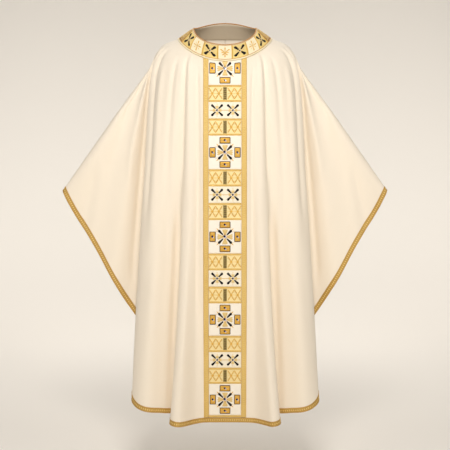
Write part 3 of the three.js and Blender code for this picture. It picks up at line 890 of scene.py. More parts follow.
class Look(Enum):
    """Every finish on the garment."""

    CLOTH = Finish("cream_cloth", "panel_cloth", srgb(245, 233, 215), srgb(239, 226, 204),
                   0.82, sheen=0.2, weave=0.12, weave_scale=1100, mottle=0.35)
    FACING = Finish("facing", "facing_cloth", srgb(232, 216, 190), srgb(222, 204, 176),
                    0.85, sheen=0.15, weave=0.15, weave_scale=900, mottle=0.3)
    GROUND = Finish("band_ground", "band_field", srgb(252, 244, 230), srgb(246, 235, 214),
                    0.7, sheen=0.15, weave=0.3, weave_scale=700, mottle=0.4)
    LATTICE_GROUND = Finish("lattice_ground", "band_field", srgb(252, 234, 182), srgb(247, 220, 150),
                            0.6, metallic=0.05, weave=0.5, weave_scale=520, mottle=0.6)
    TWIN_GROUND = Finish("twin_ground", "band_field", srgb(252, 243, 224), srgb(246, 232, 200),
                         0.68, weave=0.4, weave_scale=600, mottle=0.4)
    BRAID = Finish("gold_braid", "gold_braid", srgb(246, 218, 142), srgb(218, 178, 92),
                   0.5, metallic=0.2, weave=0.7, weave_scale=420, weave_ratio=1.8, mottle=0.7)
    EDGE_BRAID = Finish("edge_braid", "gold_braid", srgb(222, 186, 106), srgb(184, 140, 62),
                        0.48, metallic=0.25, weave=0.7, weave_scale=420, weave_ratio=1.8, mottle=0.7)
    BRAID_KNOT = Finish("braid_knot", "gold_braid", srgb(246, 218, 144), srgb(222, 180, 92),
                        0.45, metallic=0.25, weave=0.5, weave_scale=700, mottle=0.5)
    GOLD = Finish("gold_thread", "gold_embroidery", srgb(240, 196, 92), srgb(218, 166, 60),
                  0.5, metallic=0.15, weave=0.7, weave_scale=800, weave_ratio=0.1, mottle=0.5)
    AMBER = Finish("amber_thread", "gold_embroidery", srgb(244, 196, 86), srgb(222, 164, 58),
                   0.42, metallic=0.3, weave=0.7, weave_scale=800, weave_ratio=0.1, mottle=0.6)
    PALE_GOLD = Finish("pale_gold_thread", "gold_embroidery", srgb(240, 216, 156), srgb(228, 196, 124),
                       0.5, metallic=0.12, weave=0.7, weave_scale=800, weave_ratio=0.1, mottle=0.5)
    BORDER = Finish("border_gold", "gold_embroidery", srgb(246, 212, 128), srgb(232, 190, 96),
                    0.5, metallic=0.2, weave=0.7, weave_scale=800, weave_ratio=0.1, mottle=0.5)
    STITCH = Finish("edge_stitch", "gold_embroidery", srgb(206, 156, 78), srgb(180, 126, 56),
                    0.55, metallic=0.15)
    OUTLINE = Finish("brown_outline", "black_satin_stitch", srgb(74, 48, 34), srgb(50, 32, 26),
                     0.6, weave=0.4, weave_scale=900, weave_ratio=0.1)
    BLACK = Finish("black_satin", "black_satin_stitch", srgb(26, 20, 22), srgb(14, 11, 13),
                   0.6, weave=0.8, weave_scale=700, weave_ratio=0.05, specular=0.25)
    BAR = Finish("bar_ground", "beaded_bar", srgb(190, 168, 100), srgb(140, 118, 62),
                 0.5, metallic=0.2, weave=0.6, weave_scale=500, mottle=0.6)
    BEAD = Finish("dark_bead", "beaded_bar", srgb(104, 86, 48), srgb(70, 58, 32),
                  0.3, metallic=0.2, specular=0.4)
    STONE = Finish("dark_crystal", "dark_crystal", srgb(34, 34, 74), srgb(20, 20, 44),
                   0.18, specular=0.3)
    # A pale lilac-white chip set beside each dark stone: its colour is a painted highlight, standing in for
    # the glint off the crystal's facets.
    PALE_STONE = Finish("pale_crystal", "dark_crystal", srgb(206, 200, 216), srgb(176, 172, 196),
                        0.12, specular=0.5)
    RUST = Finish("rust_cord", "rust_piping", srgb(204, 146, 76), srgb(170, 110, 50),
                  0.55, metallic=0.1, weave=0.6, weave_scale=700)
    CREAM_CORD = Finish("cream_cord", "cream_piping", srgb(255, 241, 202), srgb(246, 224, 168),
                        0.6, weave=0.6, weave_scale=700)
    COLLAR_CREAM = Finish("collar_cream", "collar_brocade", srgb(252, 240, 208), srgb(246, 228, 184),
                          0.6, weave=0.4, weave_scale=600, mottle=0.4)
    COLLAR_YELLOW = Finish("collar_yellow", "collar_brocade", srgb(250, 226, 156), srgb(240, 206, 118),
                           0.55, metallic=0.1, weave=0.5, weave_scale=560, mottle=0.6)
    COLLAR_GOLD = Finish("collar_gold", "collar_brocade", srgb(214, 166, 78), srgb(160, 110, 44),
                         0.45, metallic=0.3, weave=0.6, weave_scale=500, mottle=0.7)


class Materials:
    """Builds each material once, from one shared shader group.

    CLOUD and GRAIN are the scale and detail of the broad and the fine mottle.
    """

    CLOUD = (9.0, 4.0)
    GRAIN = (240.0, 2.0)
    THREAD_RELIEF = 0.0004
    SHEEN_ROUGHNESS = 0.5

    def __init__(self) -> None:
        """Makes the shared group."""
        self.made: dict[Look, bpy.types.Material] = {}
        self.weave = self._weave_group()

    @staticmethod
    def _group(name: str, inputs: Sequence[str], outputs: Sequence[str]) -> bpy.types.NodeTree:
        """Makes an empty shader group of values, where Place is a vector."""
        tree = bpy.data.node_groups.new(name, "ShaderNodeTree")
        for way, labels in (("INPUT", inputs), ("OUTPUT", outputs)):
            for label in labels:
                kind = "NodeSocketVector" if label == "Place" else "NodeSocketFloat"
                tree.interface.new_socket(label, in_out=way, socket_type=kind)
        return tree

    @staticmethod
    def _math(tree: bpy.types.NodeTree, operation: str, *terms: bpy.types.NodeSocket | float,
              clamp: bool = False) -> bpy.types.NodeSocket:
        """Adds one math node."""
        node = tree.nodes.new("ShaderNodeMath")
        node.operation = operation
        node.use_clamp = clamp
        for place, term in zip(node.inputs, terms):
            if isinstance(term, bpy.types.NodeSocket):
                tree.links.new(term, place)
            else:
                place.default_value = term
        return node.outputs[0]

    def _weave_group(self) -> bpy.types.NodeTree:
        """Over-and-under threads, as their height and a soft colour mask."""
        tree = self._group("Weave", ("Place", "Scale", "Ratio", "Mottle"), ("Height", "Mask"))
        nodes, links = tree.nodes, tree.links
        entry = nodes.new("NodeGroupInput")
        leave = nodes.new("NodeGroupOutput")
        split = nodes.new("ShaderNodeSeparateXYZ")
        links.new(entry.outputs["Place"], split.inputs[0])
        across = self._math(tree, "MULTIPLY", split.outputs[0], entry.outputs["Scale"])
        along = self._math(tree, "MULTIPLY", split.outputs[1], entry.outputs["Scale"])
        along = self._math(tree, "MULTIPLY", along, entry.outputs["Ratio"])
        waves = []
        for threads in (across, along):
            turned = self._math(tree, "MULTIPLY", threads, 2 * math.pi)
            waves.append(self._math(tree, "SINE", turned))
        crossed = self._math(tree, "MULTIPLY", *waves)
        raised = self._math(tree, "MULTIPLY_ADD", crossed, 0.5, 0.5)
        links.new(raised, leave.inputs["Height"])
        clouds = []
        for scale, detail in (self.CLOUD, self.GRAIN):
            noise = nodes.new("ShaderNodeTexNoise")
            noise.inputs["Scale"].default_value = scale
            noise.inputs["Detail"].default_value = detail
            links.new(entry.outputs["Place"], noise.inputs["Vector"])
            clouds.append(noise.outputs["Fac"])
        both = self._math(tree, "ADD", *clouds)
        mottled = self._math(tree, "MULTIPLY", both, entry.outputs["Mottle"], clamp=True)
        links.new(mottled, leave.inputs["Mask"])
        return tree

    def get(self, look: Look) -> bpy.types.Material:
        """The material for a look, made on first use."""
        if look not in self.made:
            self.made[look] = self._make(look.value)
        return self.made[look]

    def _make(self, finish: Finish) -> bpy.types.Material:
        """Makes one material, whose group feeds its colour and its normal."""
        material = bpy.data.materials.new(finish.name)
        material.use_nodes = True
        nodes, links = material.node_tree.nodes, material.node_tree.links
        shader = nodes["Principled BSDF"]
        for label, value in (
            ("Roughness", finish.roughness), ("Metallic", finish.metallic),
            ("Sheen Weight", finish.sheen), ("Sheen Roughness", self.SHEEN_ROUGHNESS),
            ("Specular IOR Level", finish.specular),
        ):
            shader.inputs[label].default_value = value
        place = nodes.new("ShaderNodeUVMap")
        place.uv_map = "flat"
        weave = nodes.new("ShaderNodeGroup")
        weave.node_tree = self.weave
        weave.inputs["Scale"].default_value = finish.weave_scale
        weave.inputs["Ratio"].default_value = finish.weave_ratio
        weave.inputs["Mottle"].default_value = finish.mottle
        links.new(place.outputs["UV"], weave.inputs["Place"])
        colours = nodes.new("ShaderNodeMix")
        colours.data_type = "RGBA"
        colours.inputs[6].default_value = (*finish.colour, 1)
        colours.inputs[7].default_value = (*finish.second, 1)
        links.new(weave.outputs["Mask"], colours.inputs[0])
        links.new(colours.outputs[2], shader.inputs["Base Color"])
        if finish.weave:
            bump = nodes.new("ShaderNodeBump")
            bump.inputs["Strength"].default_value = finish.weave
            bump.inputs["Distance"].default_value = self.THREAD_RELIEF
            links.new(weave.outputs["Height"], bump.inputs["Height"])
            links.new(bump.outputs["Normal"], shader.inputs["Normal"])
        return material


class Workshop:
    """Turns shapes into finished pieces that ride on the frame."""

    def __init__(self, materials: Materials) -> None:
        """Keeps where each look comes from, and the names of the CAD nodes."""
        self.materials = materials
        self.nodes = set(frame["nodes"])

    def piece(self, name: str, verts: Array, faces: Sequence[tuple[int, ...]], flats: Array,
              look: Look, stands_for: Sequence[str] = (), shade_smooth: bool = True) -> bpy.types.Object:
        """Makes one object from millimetre vertices.

        Args:
            name: the piece's name.
            verts: positions in millimetres.
            faces: vertex numbers of each face.
            flats: flat coordinates for the shader, in millimetres.
            look: its finish.
            stands_for: CAD nodes it replaces.
            shade_smooth: whether it is smooth shaded.

        Returns:
            The new object.
        """
        mesh = bpy.data.meshes.new(name)
        mesh.from_pydata((verts * MM).tolist(), [], faces)
        layer = mesh.uv_layers.new(name="flat")
        loops = np.empty(len(mesh.loops), dtype=np.int32)
        mesh.loops.foreach_get("vertex_index", loops)
        layer.data.foreach_set("uv", (flats[loops] * MM).astype(np.float32).ravel())
        mesh.materials.append(self.materials.get(look))
        mesh.polygons.foreach_set("use_smooth", [shade_smooth] * len(mesh.polygons))
        mesh.update()
        piece = bpy.data.objects.new(name, mesh)
        bpy.context.scene.collection.objects.link(piece)
        self.declare(piece, look, stands_for)
        return piece

    def declare(self, piece: bpy.types.Object, look: Look, stands_for: Sequence[str] = ()) -> None:
        """Tells the frame what a piece rides on and stands for.

        Args:
            piece: the finished object.
            look: its finish; not used.
            stands_for: CAD nodes it replaces.
        """
        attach(piece, "root")
        LOG.info("made %s with %d faces", piece.name, len(piece.data.polygons))
        real = [node for node in stands_for if node in self.nodes]
        if real:
            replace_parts(piece, *real)

    def lay(self, name: str, shape: Shape, patch: Patch, look: Look,
            stands_for: Sequence[str] = (), shade_smooth: bool = True) -> bpy.types.Object | None:
        """Places a shape on a patch and makes the piece.

        Args:
            name: the piece's name.
            shape: what is laid.
            patch: the surface under it.
            look: its finish.
            stands_for: CAD nodes it replaces.
            shade_smooth: whether it is smooth shaded.

        Returns:
            The new object, or none for an empty shape.
        """
        if not shape.count:
            return None
        local = np.concatenate(shape.verts)
        flats = np.concatenate(shape.flats)
        return self.piece(name, patch.place(local), shape.faces, flats, look, stands_for, shade_smooth)


# ---- cloth ------------------------------------------------------------------------


class ClothLayers:
    """The panels and the neck facing, made straight from the drape."""

    FACING_GAP = 0.2

    def __init__(self, drape: Drape, workshop: Workshop) -> None:
        """Keeps the surface and the workshop."""
        self.drape = drape
        self.workshop = workshop

    def layer(self, name: str, start: int, stop: int, rows: Array, low: float, high: float,
              look: Look, node: str) -> bpy.types.Object:
        """A closed layer between two heights over part of the drape.

        Args:
            name: the piece's name.
            start: first column.
            stop: last column, or the first again for a whole ring.
            rows: the rows that it covers.
            low: height of its inner face.
            high: height of its outer face.
            look: its finish.
            node: the CAD node it stands for.

        Returns:
            The new object.
        """
        drape = self.drape
        ring = stop - start == drape.around
        numbers = np.arange(start, stop if ring else stop + 1) % drape.around
        points = drape.points[numbers][:, rows]
        normals = drape.normals[numbers][:, rows]
        outer = points + high * normals
        inner = points + low * normals
        na, nb = points.shape[:2]
        number = np.arange(na * nb).reshape(na, nb)
        base = na * nb
        here = number if ring else number[:-1]
        after = np.roll(number, -1, axis=0) if ring else number[1:]
        quads = np.stack([here[:, :-1], here[:, 1:], after[:, 1:], after[:, :-1]], axis=-1).reshape(-1, 4)
        faces = [tuple(q) for q in quads]
        faces += [tuple(base + i for i in q[::-1]) for q in quads]
        for a, b in zip(here[:, 0], after[:, 0]):
            faces.append((a, b, base + b, base + a))
        for a, b in zip(here[:, -1], after[:, -1]):
            faces.append((base + a, base + b, b, a))
        if not ring:
            for a, b in zip(number[0, :-1], number[0, 1:]):
                faces.append((base + a, base + b, b, a))
            for a, b in zip(number[-1, :-1], number[-1, 1:]):
                faces.append((a, b, base + b, base + a))
        across = run_length(points)
        along = np.repeat(run_length(np.moveaxis(points, 1, 0)).T[:1], na, axis=0)
        flats = np.stack([across, along], axis=-1).reshape(-1, 2)
        verts = np.concatenate([outer.reshape(-1, 3), inner.reshape(-1, 3)])
        return self.workshop.piece(
            name, verts, faces, np.concatenate([flats, flats]), look, [node])

    def build(self) -> None:
        """Makes the four panels and the neck facing."""
        drape, sizes = self.drape, self.drape.sizes
        rows = np.arange(drape.points.shape[1])
        quarter = drape.quarter
        starts = {"front_panel_right": 0, "back_panel_right": quarter,
                  "back_panel_left": 2 * quarter, "front_panel_left": 3 * quarter}
        for node, start in starts.items():
            panel = self.layer(
                node + "_cloth", start, start + quarter, rows, -sizes.cloth, 0, Look.CLOTH, node)
        low = -sizes.cloth - self.FACING_GAP - sizes.facing
        facing = self.layer("neck_facing_cloth", 0, drape.around, rows[: drape.collar_row + 1],
                            low, low + sizes.facing, Look.FACING, "neck_facing")


# ---- braid ---------------------------------------------------------------------------


@dataclass(frozen=True)
class BraidSizes:
    """Sizes of the woven braid, in millimetres.

    Hollow and trough are heights between the ribs, as shares.  A knot or a stitch is its
    half width, its half length as a share of the pitch, and its height, and a knot's half
    width is a share of the braid's.
    """

    height: float = 0.9
    hollow: float = 0.55
    ladder: float = 3.7
    trough: float = 0.62
    sample: float = 1.23
    edge_base: float = 0.25
    pitch: float = 7.4
    knot: tuple[float, float, float] = (0.17, 0.3, 0.5)
    knot_lift: float = 0.55
    stitch_pitch: float = 3.7
    stitch: tuple[float, float, float] = (0.55, 0.38, 0.4)
    stitch_lift: float = 0.75
    stitch_inset: float = 1.1


@dataclass(frozen=True)
class Run:
    """One run of braid, across its patch or upright, with the height of its underside."""

    name: str
    patch: Patch
    along: tuple[float, float]
    across: tuple[float, float]
    base: float
    upright: bool


class Braid:
    """Woven gold braid with a rib at each border, a row of knots and two of stitches."""

    def __init__(self, workshop: Workshop, scatter: "Scatter", sizes: BraidSizes) -> None:
        """Keeps the makers and the sizes."""
        self.workshop = workshop
        self.scatter = scatter
        self.sizes = sizes

    def lay(self, run: Run, node: str, look: Look = Look.BRAID) -> None:
        """Lays one run of braid.

        Args:
            run: where it goes.
            node: the CAD node it stands for.
            look: its finish.
        """
        sizes = self.sizes
        start, end = run.along
        low, high = run.across
        spots = np.linspace(start, end, max(2, round((end - start) / sizes.sample)))
        wide = np.linspace(0, 1, 9)
        profile = sizes.hollow + (1 - sizes.hollow) * np.abs(np.cos(wide * math.pi)) ** 3
        rib = 0.5 + 0.5 * np.cos((spots - start) * 2 * math.pi / sizes.ladder)
        height = sizes.height * profile[None, :] * (sizes.trough + (1 - sizes.trough) * rib[:, None])
        border = low + wide * (high - low)
        shape = Shape()
        if run.upright:
            shape.grid(border, spots, run.base, run.base + height.T)
        else:
            shape.grid(spots, border, run.base, run.base + height)
        self.workshop.lay(run.name, shape, run.patch, look, [node])
        wide, long, tall = sizes.knot
        knot = (abs(high - low) * wide, sizes.pitch * long, tall)
        self._row(run, "knots", [0.5 * (low + high)], sizes.pitch, sizes.knot_lift, knot, Look.BRAID_KNOT)
        wide, long, tall = sizes.stitch
        stitch = (wide, sizes.stitch_pitch * long, tall)
        borders = [low + sizes.stitch_inset, high - sizes.stitch_inset]
        self._row(run, "stitches", borders, sizes.stitch_pitch, sizes.stitch_lift, stitch, Look.STITCH)

    def _row(self, run: Run, word: str, borders: Sequence[float], pitch: float, lift: float,
             size: tuple[float, float, float], look: Look) -> None:
        """Rows of small cushions along a run."""
        start, end = run.along
        count = max(2, round((end - start) / pitch))
        spots = start + (np.arange(count) + 0.5) * (end - start) / count
        places = np.concatenate([
            np.c_[spots, np.full(count, border), np.full(count, run.base + lift)] for border in borders
        ])
        if run.upright:
            places = places[:, [1, 0, 2]]
        else:
            size = (size[1], size[0], size[2])
        self.scatter.lay(f"{run.name}_{word}", run.patch, places, size, look)


class Scatter:
    """Repeats one small cushion over many places with a geometry node group."""

    PROBE = 0.5

    def __init__(self, workshop: Workshop) -> None:
        """Builds the node group and the element it repeats."""
        self.workshop = workshop
        self.element = self._cushion()
        self.group = self._node_group()

    @staticmethod
    def _cushion() -> bpy.types.Object:
        """The repeated element, a low dome of unit radius and height."""
        sides = 8
        shape = Shape()
        angle = np.arange(sides) * 2 * math.pi / sides
        shape.dome(np.c_[np.cos(angle), np.sin(angle)], -0.3, 0.25, 1.0, rings=1)
        mesh = bpy.data.meshes.new("cushion")
        mesh.from_pydata(np.concatenate(shape.verts).tolist(), [], shape.faces)
        mesh.polygons.foreach_set("use_smooth", [True] * len(mesh.polygons))
        return bpy.data.objects.new("cushion", mesh)

    @staticmethod
    def _node_group() -> bpy.types.NodeTree:
        """Instances the element on points, turned by an attribute and set to one size."""
        tree = bpy.data.node_groups.new("CushionRow", "GeometryNodeTree")
        for label, kind in (("Geometry", "Geometry"), ("Element", "Object"),
                            ("Size", "Vector"), ("Material", "Material")):
            tree.interface.new_socket(label, in_out="INPUT", socket_type="NodeSocket" + kind)
        tree.interface.new_socket("Geometry", in_out="OUTPUT", socket_type="NodeSocketGeometry")
        nodes, links = tree.nodes, tree.links
        entry = nodes.new("NodeGroupInput")
        leave = nodes.new("NodeGroupOutput")
        element = nodes.new("GeometryNodeObjectInfo")
        links.new(entry.outputs["Element"], element.inputs["Object"])
        turn = nodes.new("GeometryNodeInputNamedAttribute")
        turn.data_type = "FLOAT_VECTOR"
        turn.inputs["Name"].default_value = "turn"
        spread = nodes.new("GeometryNodeInstanceOnPoints")
        links.new(entry.outputs["Geometry"], spread.inputs["Points"])
        links.new(element.outputs["Geometry"], spread.inputs["Instance"])
        links.new(turn.outputs["Attribute"], spread.inputs["Rotation"])
        links.new(entry.outputs["Size"], spread.inputs["Scale"])
        real = nodes.new("GeometryNodeRealizeInstances")
        links.new(spread.outputs["Instances"], real.inputs["Geometry"])
        paint = nodes.new("GeometryNodeSetMaterial")
        links.new(real.outputs["Geometry"], paint.inputs["Geometry"])
        links.new(entry.outputs["Material"], paint.inputs["Material"])
        links.new(paint.outputs["Geometry"], leave.inputs["Geometry"])
        return tree

    def lay(self, name: str, patch: Patch, places: Array, size: tuple[float, float, float],
            look: Look) -> bpy.types.Object:
        """Lays the element at places on a patch.

        Args:
            name: the piece's name.
            patch: the surface under it.
            places: (count, 3) flat coordinates and heights.
            size: half width, half length and height, in millimetres.
            look: its finish.

        Returns:
            The finished piece.
        """
        here = patch.place(places)
        aside = patch.place(places + [self.PROBE, 0, 0]) - here
        above = patch.place(places + [0, self.PROBE, 0]) - here
        aside /= np.linalg.norm(aside, axis=1, keepdims=True)
        out = np.cross(aside, above)
        out /= np.linalg.norm(out, axis=1, keepdims=True)
        above = np.cross(out, aside)
        turns = np.stack([aside, above, out], axis=-1)
        euler = np.stack([
            np.arctan2(turns[:, 2, 1], turns[:, 2, 2]),
            np.arcsin(np.clip(-turns[:, 2, 0], -1, 1)),
            np.arctan2(turns[:, 1, 0], turns[:, 0, 0]),
        ], axis=1)
        mesh = bpy.data.meshes.new(name + "_points")
        mesh.from_pydata((here * MM).tolist(), [], [])
        attribute = mesh.attributes.new("turn", "FLOAT_VECTOR", "POINT")
        attribute.data.foreach_set("vector", euler.astype(np.float32).ravel())
        carrier = bpy.data.objects.new(name + "_points", mesh)
        scene = bpy.context.scene.collection
        scene.objects.link(carrier)
        scene.objects.link(self.element)
        modifier = carrier.modifiers.new("row", "NODES")
        modifier.node_group = self.group
        values = {"Element": self.element, "Size": [s * MM for s in size],
                  "Material": self.workshop.materials.get(look)}
        for item in self.group.interface.items_tree:
            if item.in_out == "INPUT" and item.name in values:
                modifier[item.identifier] = values[item.name]
        carrier.update_tag()
        bpy.context.view_layer.update()
        evaluated = carrier.evaluated_get(bpy.context.evaluated_depsgraph_get())
        made = bpy.data.meshes.new_from_object(evaluated)
        carrier.modifiers.remove(modifier)
        bpy.data.objects.remove(carrier)
        scene.objects.unlink(self.element)
        made.name = name
        layer = made.uv_layers.new(name="flat") if not made.uv_layers else made.uv_layers[0]
        spots = np.empty(len(made.vertices) * 3, dtype=np.float32)
        made.vertices.foreach_get("co", spots)
        loops = np.empty(len(made.loops), dtype=np.int32)
        made.loops.foreach_get("vertex_index", loops)
        layer.data.foreach_set("uv", spots.reshape(-1, 3)[loops][:, [0, 2]].ravel())
        piece = bpy.data.objects.new(name, made)
        scene.objects.link(piece)
        self.workshop.declare(piece, look)
        return piece


# ---- the centre band ----------------------------------------------------------------------


STRAIGHT = (0, 90, 180, 270)
SLANTED = (45, 135, 225, 315)


@dataclass(frozen=True)
class Petal:
    """A drop of satin stitch that widens outwards, in millimetres from a motif's middle."""

    start: float
    end: float
    narrow: float
    wide: float
    rim: float
    crown: float

    def outline(self, x: float, y: float, degrees: float) -> Array:
        """Outline of the petal, anticlockwise.

        Args:
            x: the motif's middle across.
            y: the motif's middle up.
            degrees: its direction.

        Returns:
            (count, 2) points.
        """
        flare = 1.3
        t = np.linspace(0, 1, 9)
        half = 0.5 * (self.narrow + (self.wide - self.narrow) * t**flare)
        along = self.start + (self.end - self.start - self.wide / 2) * t
        cap = np.linspace(-math.pi / 2, math.pi / 2, 7)[1:-1]
        tip_x = along[-1] + self.wide / 2 * np.cos(cap)
        tip_y = self.wide / 2 * np.sin(cap)
        px = np.concatenate([along, tip_x, along[::-1]])
        py = np.concatenate([-half, tip_y, half[::-1]])
        angle = math.radians(degrees)
        return np.c_[
            x + px * math.cos(angle) - py * math.sin(angle),
            y + px * math.sin(angle) + py * math.cos(angle),
        ]


@dataclass(frozen=True)
class Fan:
    """A scalloped fan, in millimetres from a motif's middle, with half its angle in degrees."""

    start: float
    end: float
    spread: float
    heart: float
    rim: float
    crown: float

    def outline(self, x: float, y: float, degrees: float) -> Array:
        """Outline of the fan, anticlockwise.

        Args:
            x: the motif's middle across.
            y: the motif's middle up.
            degrees: its direction.

        Returns:
            (count, 2) points.
        """
        scallop, scallops, waist = 0.12, 3, 0.8
        turns = np.radians(np.linspace(-self.spread, self.spread, 13))
        wave = np.abs(np.cos(scallops * turns / math.radians(self.spread) * math.pi / 2))
        outer = self.end * (1 - scallop * (1 - wave))
        inner = np.full(5, self.start)
        inner_turns = np.radians(np.linspace(self.spread, -self.spread, 5)) * waist
        radius = np.concatenate([outer, inner])
        angle = np.concatenate([turns, inner_turns]) + math.radians(degrees)
        return np.c_[x + radius * np.cos(angle), y + radius * np.sin(angle)]


@dataclass(frozen=True)
class Stone:
    """A stone or bead, or a pale chip that paints a stone's highlight, in millimetres from a motif's
    middle.
    """

    look: Look
    x: float
    y: float
    radius: float
    lift: float
    tall: float
    facets: int = 8


class Motifs(dict):
    """Shapes of one panel of embroidery, gathered by look and placed from a middle."""

    middle: tuple[float, float, float] = (0, 0, 0)

    def __missing__(self, look: Look) -> Shape:
        """Starts the shape of a look on first use."""
        self[look] = Shape()
        return self[look]

    def at(self, x: float, y: float, low: float) -> None:
        """Sets the middle, and the height of the ground, for what is added next."""
        self.middle = (x, y, low)

    def petal(self, look: Look, degrees: float, petal: Petal) -> None:
        """Adds one petal in a direction."""
        x, y, low = self.middle
        self[look].dome(petal.outline(x, y, degrees), low, low + petal.rim, low + petal.crown)

    def fan(self, degrees: float, fan: Fan) -> None:
        """Adds one pale gold fan in a direction."""
        x, y, low = self.middle
        angle = math.radians(degrees)
        heart = (x + fan.heart * math.cos(angle), y + fan.heart * math.sin(angle))
        outline = fan.outline(x, y, degrees)
        self[Look.PALE_GOLD].dome(outline, low, low + fan.rim, low + fan.crown, middle=heart)

    def stones(self, stones: Sequence[Stone]) -> None:
        """Adds stones, beads and the pale chips that paint stones' highlights round the middle."""
        x, y, low = self.middle
        for stone in stones:
            self[stone.look].gem(
                x + stone.x, y + stone.y, stone.radius, low + stone.lift, stone.tall, stone.facets)

    def thread(self, look: Look, across: Array, up: Array, height: Array | float, radius: float) -> None:
        """Adds one thread with five sides, by its coordinates across, up and out."""
        path = np.stack(np.broadcast_arrays(across, up, height), axis=1)
        self[look].tube(path, radius, 5)

    def lay(self, name: str, workshop: Workshop, patch: Patch, node: str = "") -> None:
        """Makes one piece for each look.

        Args:
            name: the panel's name.
            workshop: makes the pieces.
            patch: the surface under them.
            node: the CAD node they stand for.
        """
        for look, shape in self.items():
            # Dark stones, and the pale chips that paint their highlights, keep flat facets.
            smooth_shaded = look not in (Look.STONE, Look.PALE_STONE)
            workshop.lay(f"{name}_{look.value.name}", shape, patch, look, [node], smooth_shaded)


@dataclass(frozen=True)
class Tablet:
    """A stone-set rectangle of the large cross: its distance out, width and height."""

    out: float
    wide: float
    tall: float


@dataclass(frozen=True)
class LargeCross:
    """Sizes of the large cross, in millimetres from its middle.

    A tablet stays away where it comes closer than clear to the band's top.  Curl is a
    radius and how far it swells, and curl_turn an angle and how far it turns.
    """

    side: Tablet = Tablet(41.0, 20.8, 34.0)
    end: Tablet = Tablet(39.7, 36.0, 21.7)
    clear: float = 9
    corner: float = 3.0
    frame: float = 4.8
    inner_corner: float = 2.0
    # A dark stone and, beside it, a pale chip whose colour is a painted highlight on that stone.
    tablet_stones: tuple[Stone, ...] = (
        Stone(Look.STONE, -1.0, 1.0, 3.5, 1.3, 1.6), Stone(Look.PALE_STONE, 2.6, -2.4, 2.6, 1.3, 1.6, 6))
    dart_start: float = 4.6
    dart_inset: float = 4.2
    dart_spread: float = 3.15
    petal: Petal = Petal(9.5, 31.5, 4.2, 8.6, 0.5, 2.0)
    petal_clear: float = 6.5
    tip: Petal = Petal(31.5, 39.5, 3.8, 1.2, 0.3, 0.8)
    tip_room: float = 40
    curl: tuple[float, float] = (31, 6)
    curl_turn: tuple[float, float] = (10, 7)
    fan: Fan = Fan(7, 25.5, 24, 19, 0.35, 1.1)
    ray_end: float = 26.0
    ray_spread: float = 14
    ring: float = 7.0
    # A dark stone and, beside it, a pale chip whose colour is a painted highlight on that stone.
    stones: tuple[Stone, ...] = (
        Stone(Look.STONE, -1.5, 1.5, 4.2, 0.4, 2.4), Stone(Look.PALE_STONE, 2.2, -2.2, 3.0, 0.5, 2.2))


@dataclass(frozen=True)
class TwinCross:
    """Sizes of the two small crosses, in millimetres; gap is the joining thread's, in and out."""

    petal: Petal = Petal(7.0, 26.5, 3.8, 8.0, 0.5, 1.8)
    fan: Fan = Fan(4.5, 15, 26, 9.5, 0.3, 0.9)
    stem: float = 22
    # A dark stone and, beside it, a pale chip whose colour is a painted highlight on that stone.
    stones: tuple[Stone, ...] = (
        Stone(Look.STONE, 0, 0, 3.4, 0.6, 1.9), Stone(Look.PALE_STONE, 1.6, -1.4, 1.5, 1.4, 1.4, 6))
    gap: tuple[float, float] = (2.5, 4.5)
    inset: float = 4


@dataclass(frozen=True)
class Lattice:
    """Sizes of the lattice panel, in millimetres; a cord is its swing, finish and radius."""

    border_inset: float = 2.6
    start: float = 9.0
    crest: float = 31.0
    half: float = 21.4
    cords: tuple[tuple[float, Look, float], ...] = ((17.5, Look.GOLD, 1.2), (12.0, Look.PALE_GOLD, 0.9))
    leaf: tuple[float, float] = (3.8, 3.1)
    bar: tuple[float, float, float] = (12.3, 41.6, 1.2)
    beads: tuple[float, ...] = (-16.2, -9.7, -3.2, 3.2, 9.7, 16.2)
    bead: Stone = Stone(Look.BEAD, 0, 0, 2.8, 0.7, 1.5)
    seed: Stone = Stone(Look.BEAD, 4.6, 0, 1.0, 0.6, 0.9, 6)


@dataclass(frozen=True)
class Border:
    """Sizes of the cord lines across the field: their spacing, radius, waves and waves' length."""

    spacing: float = 2.1
    radius: float = 0.95
    wave: float = 0.3
    length: float = 3.7
    back_drop: float = 2.8
    end_drop: float = 3


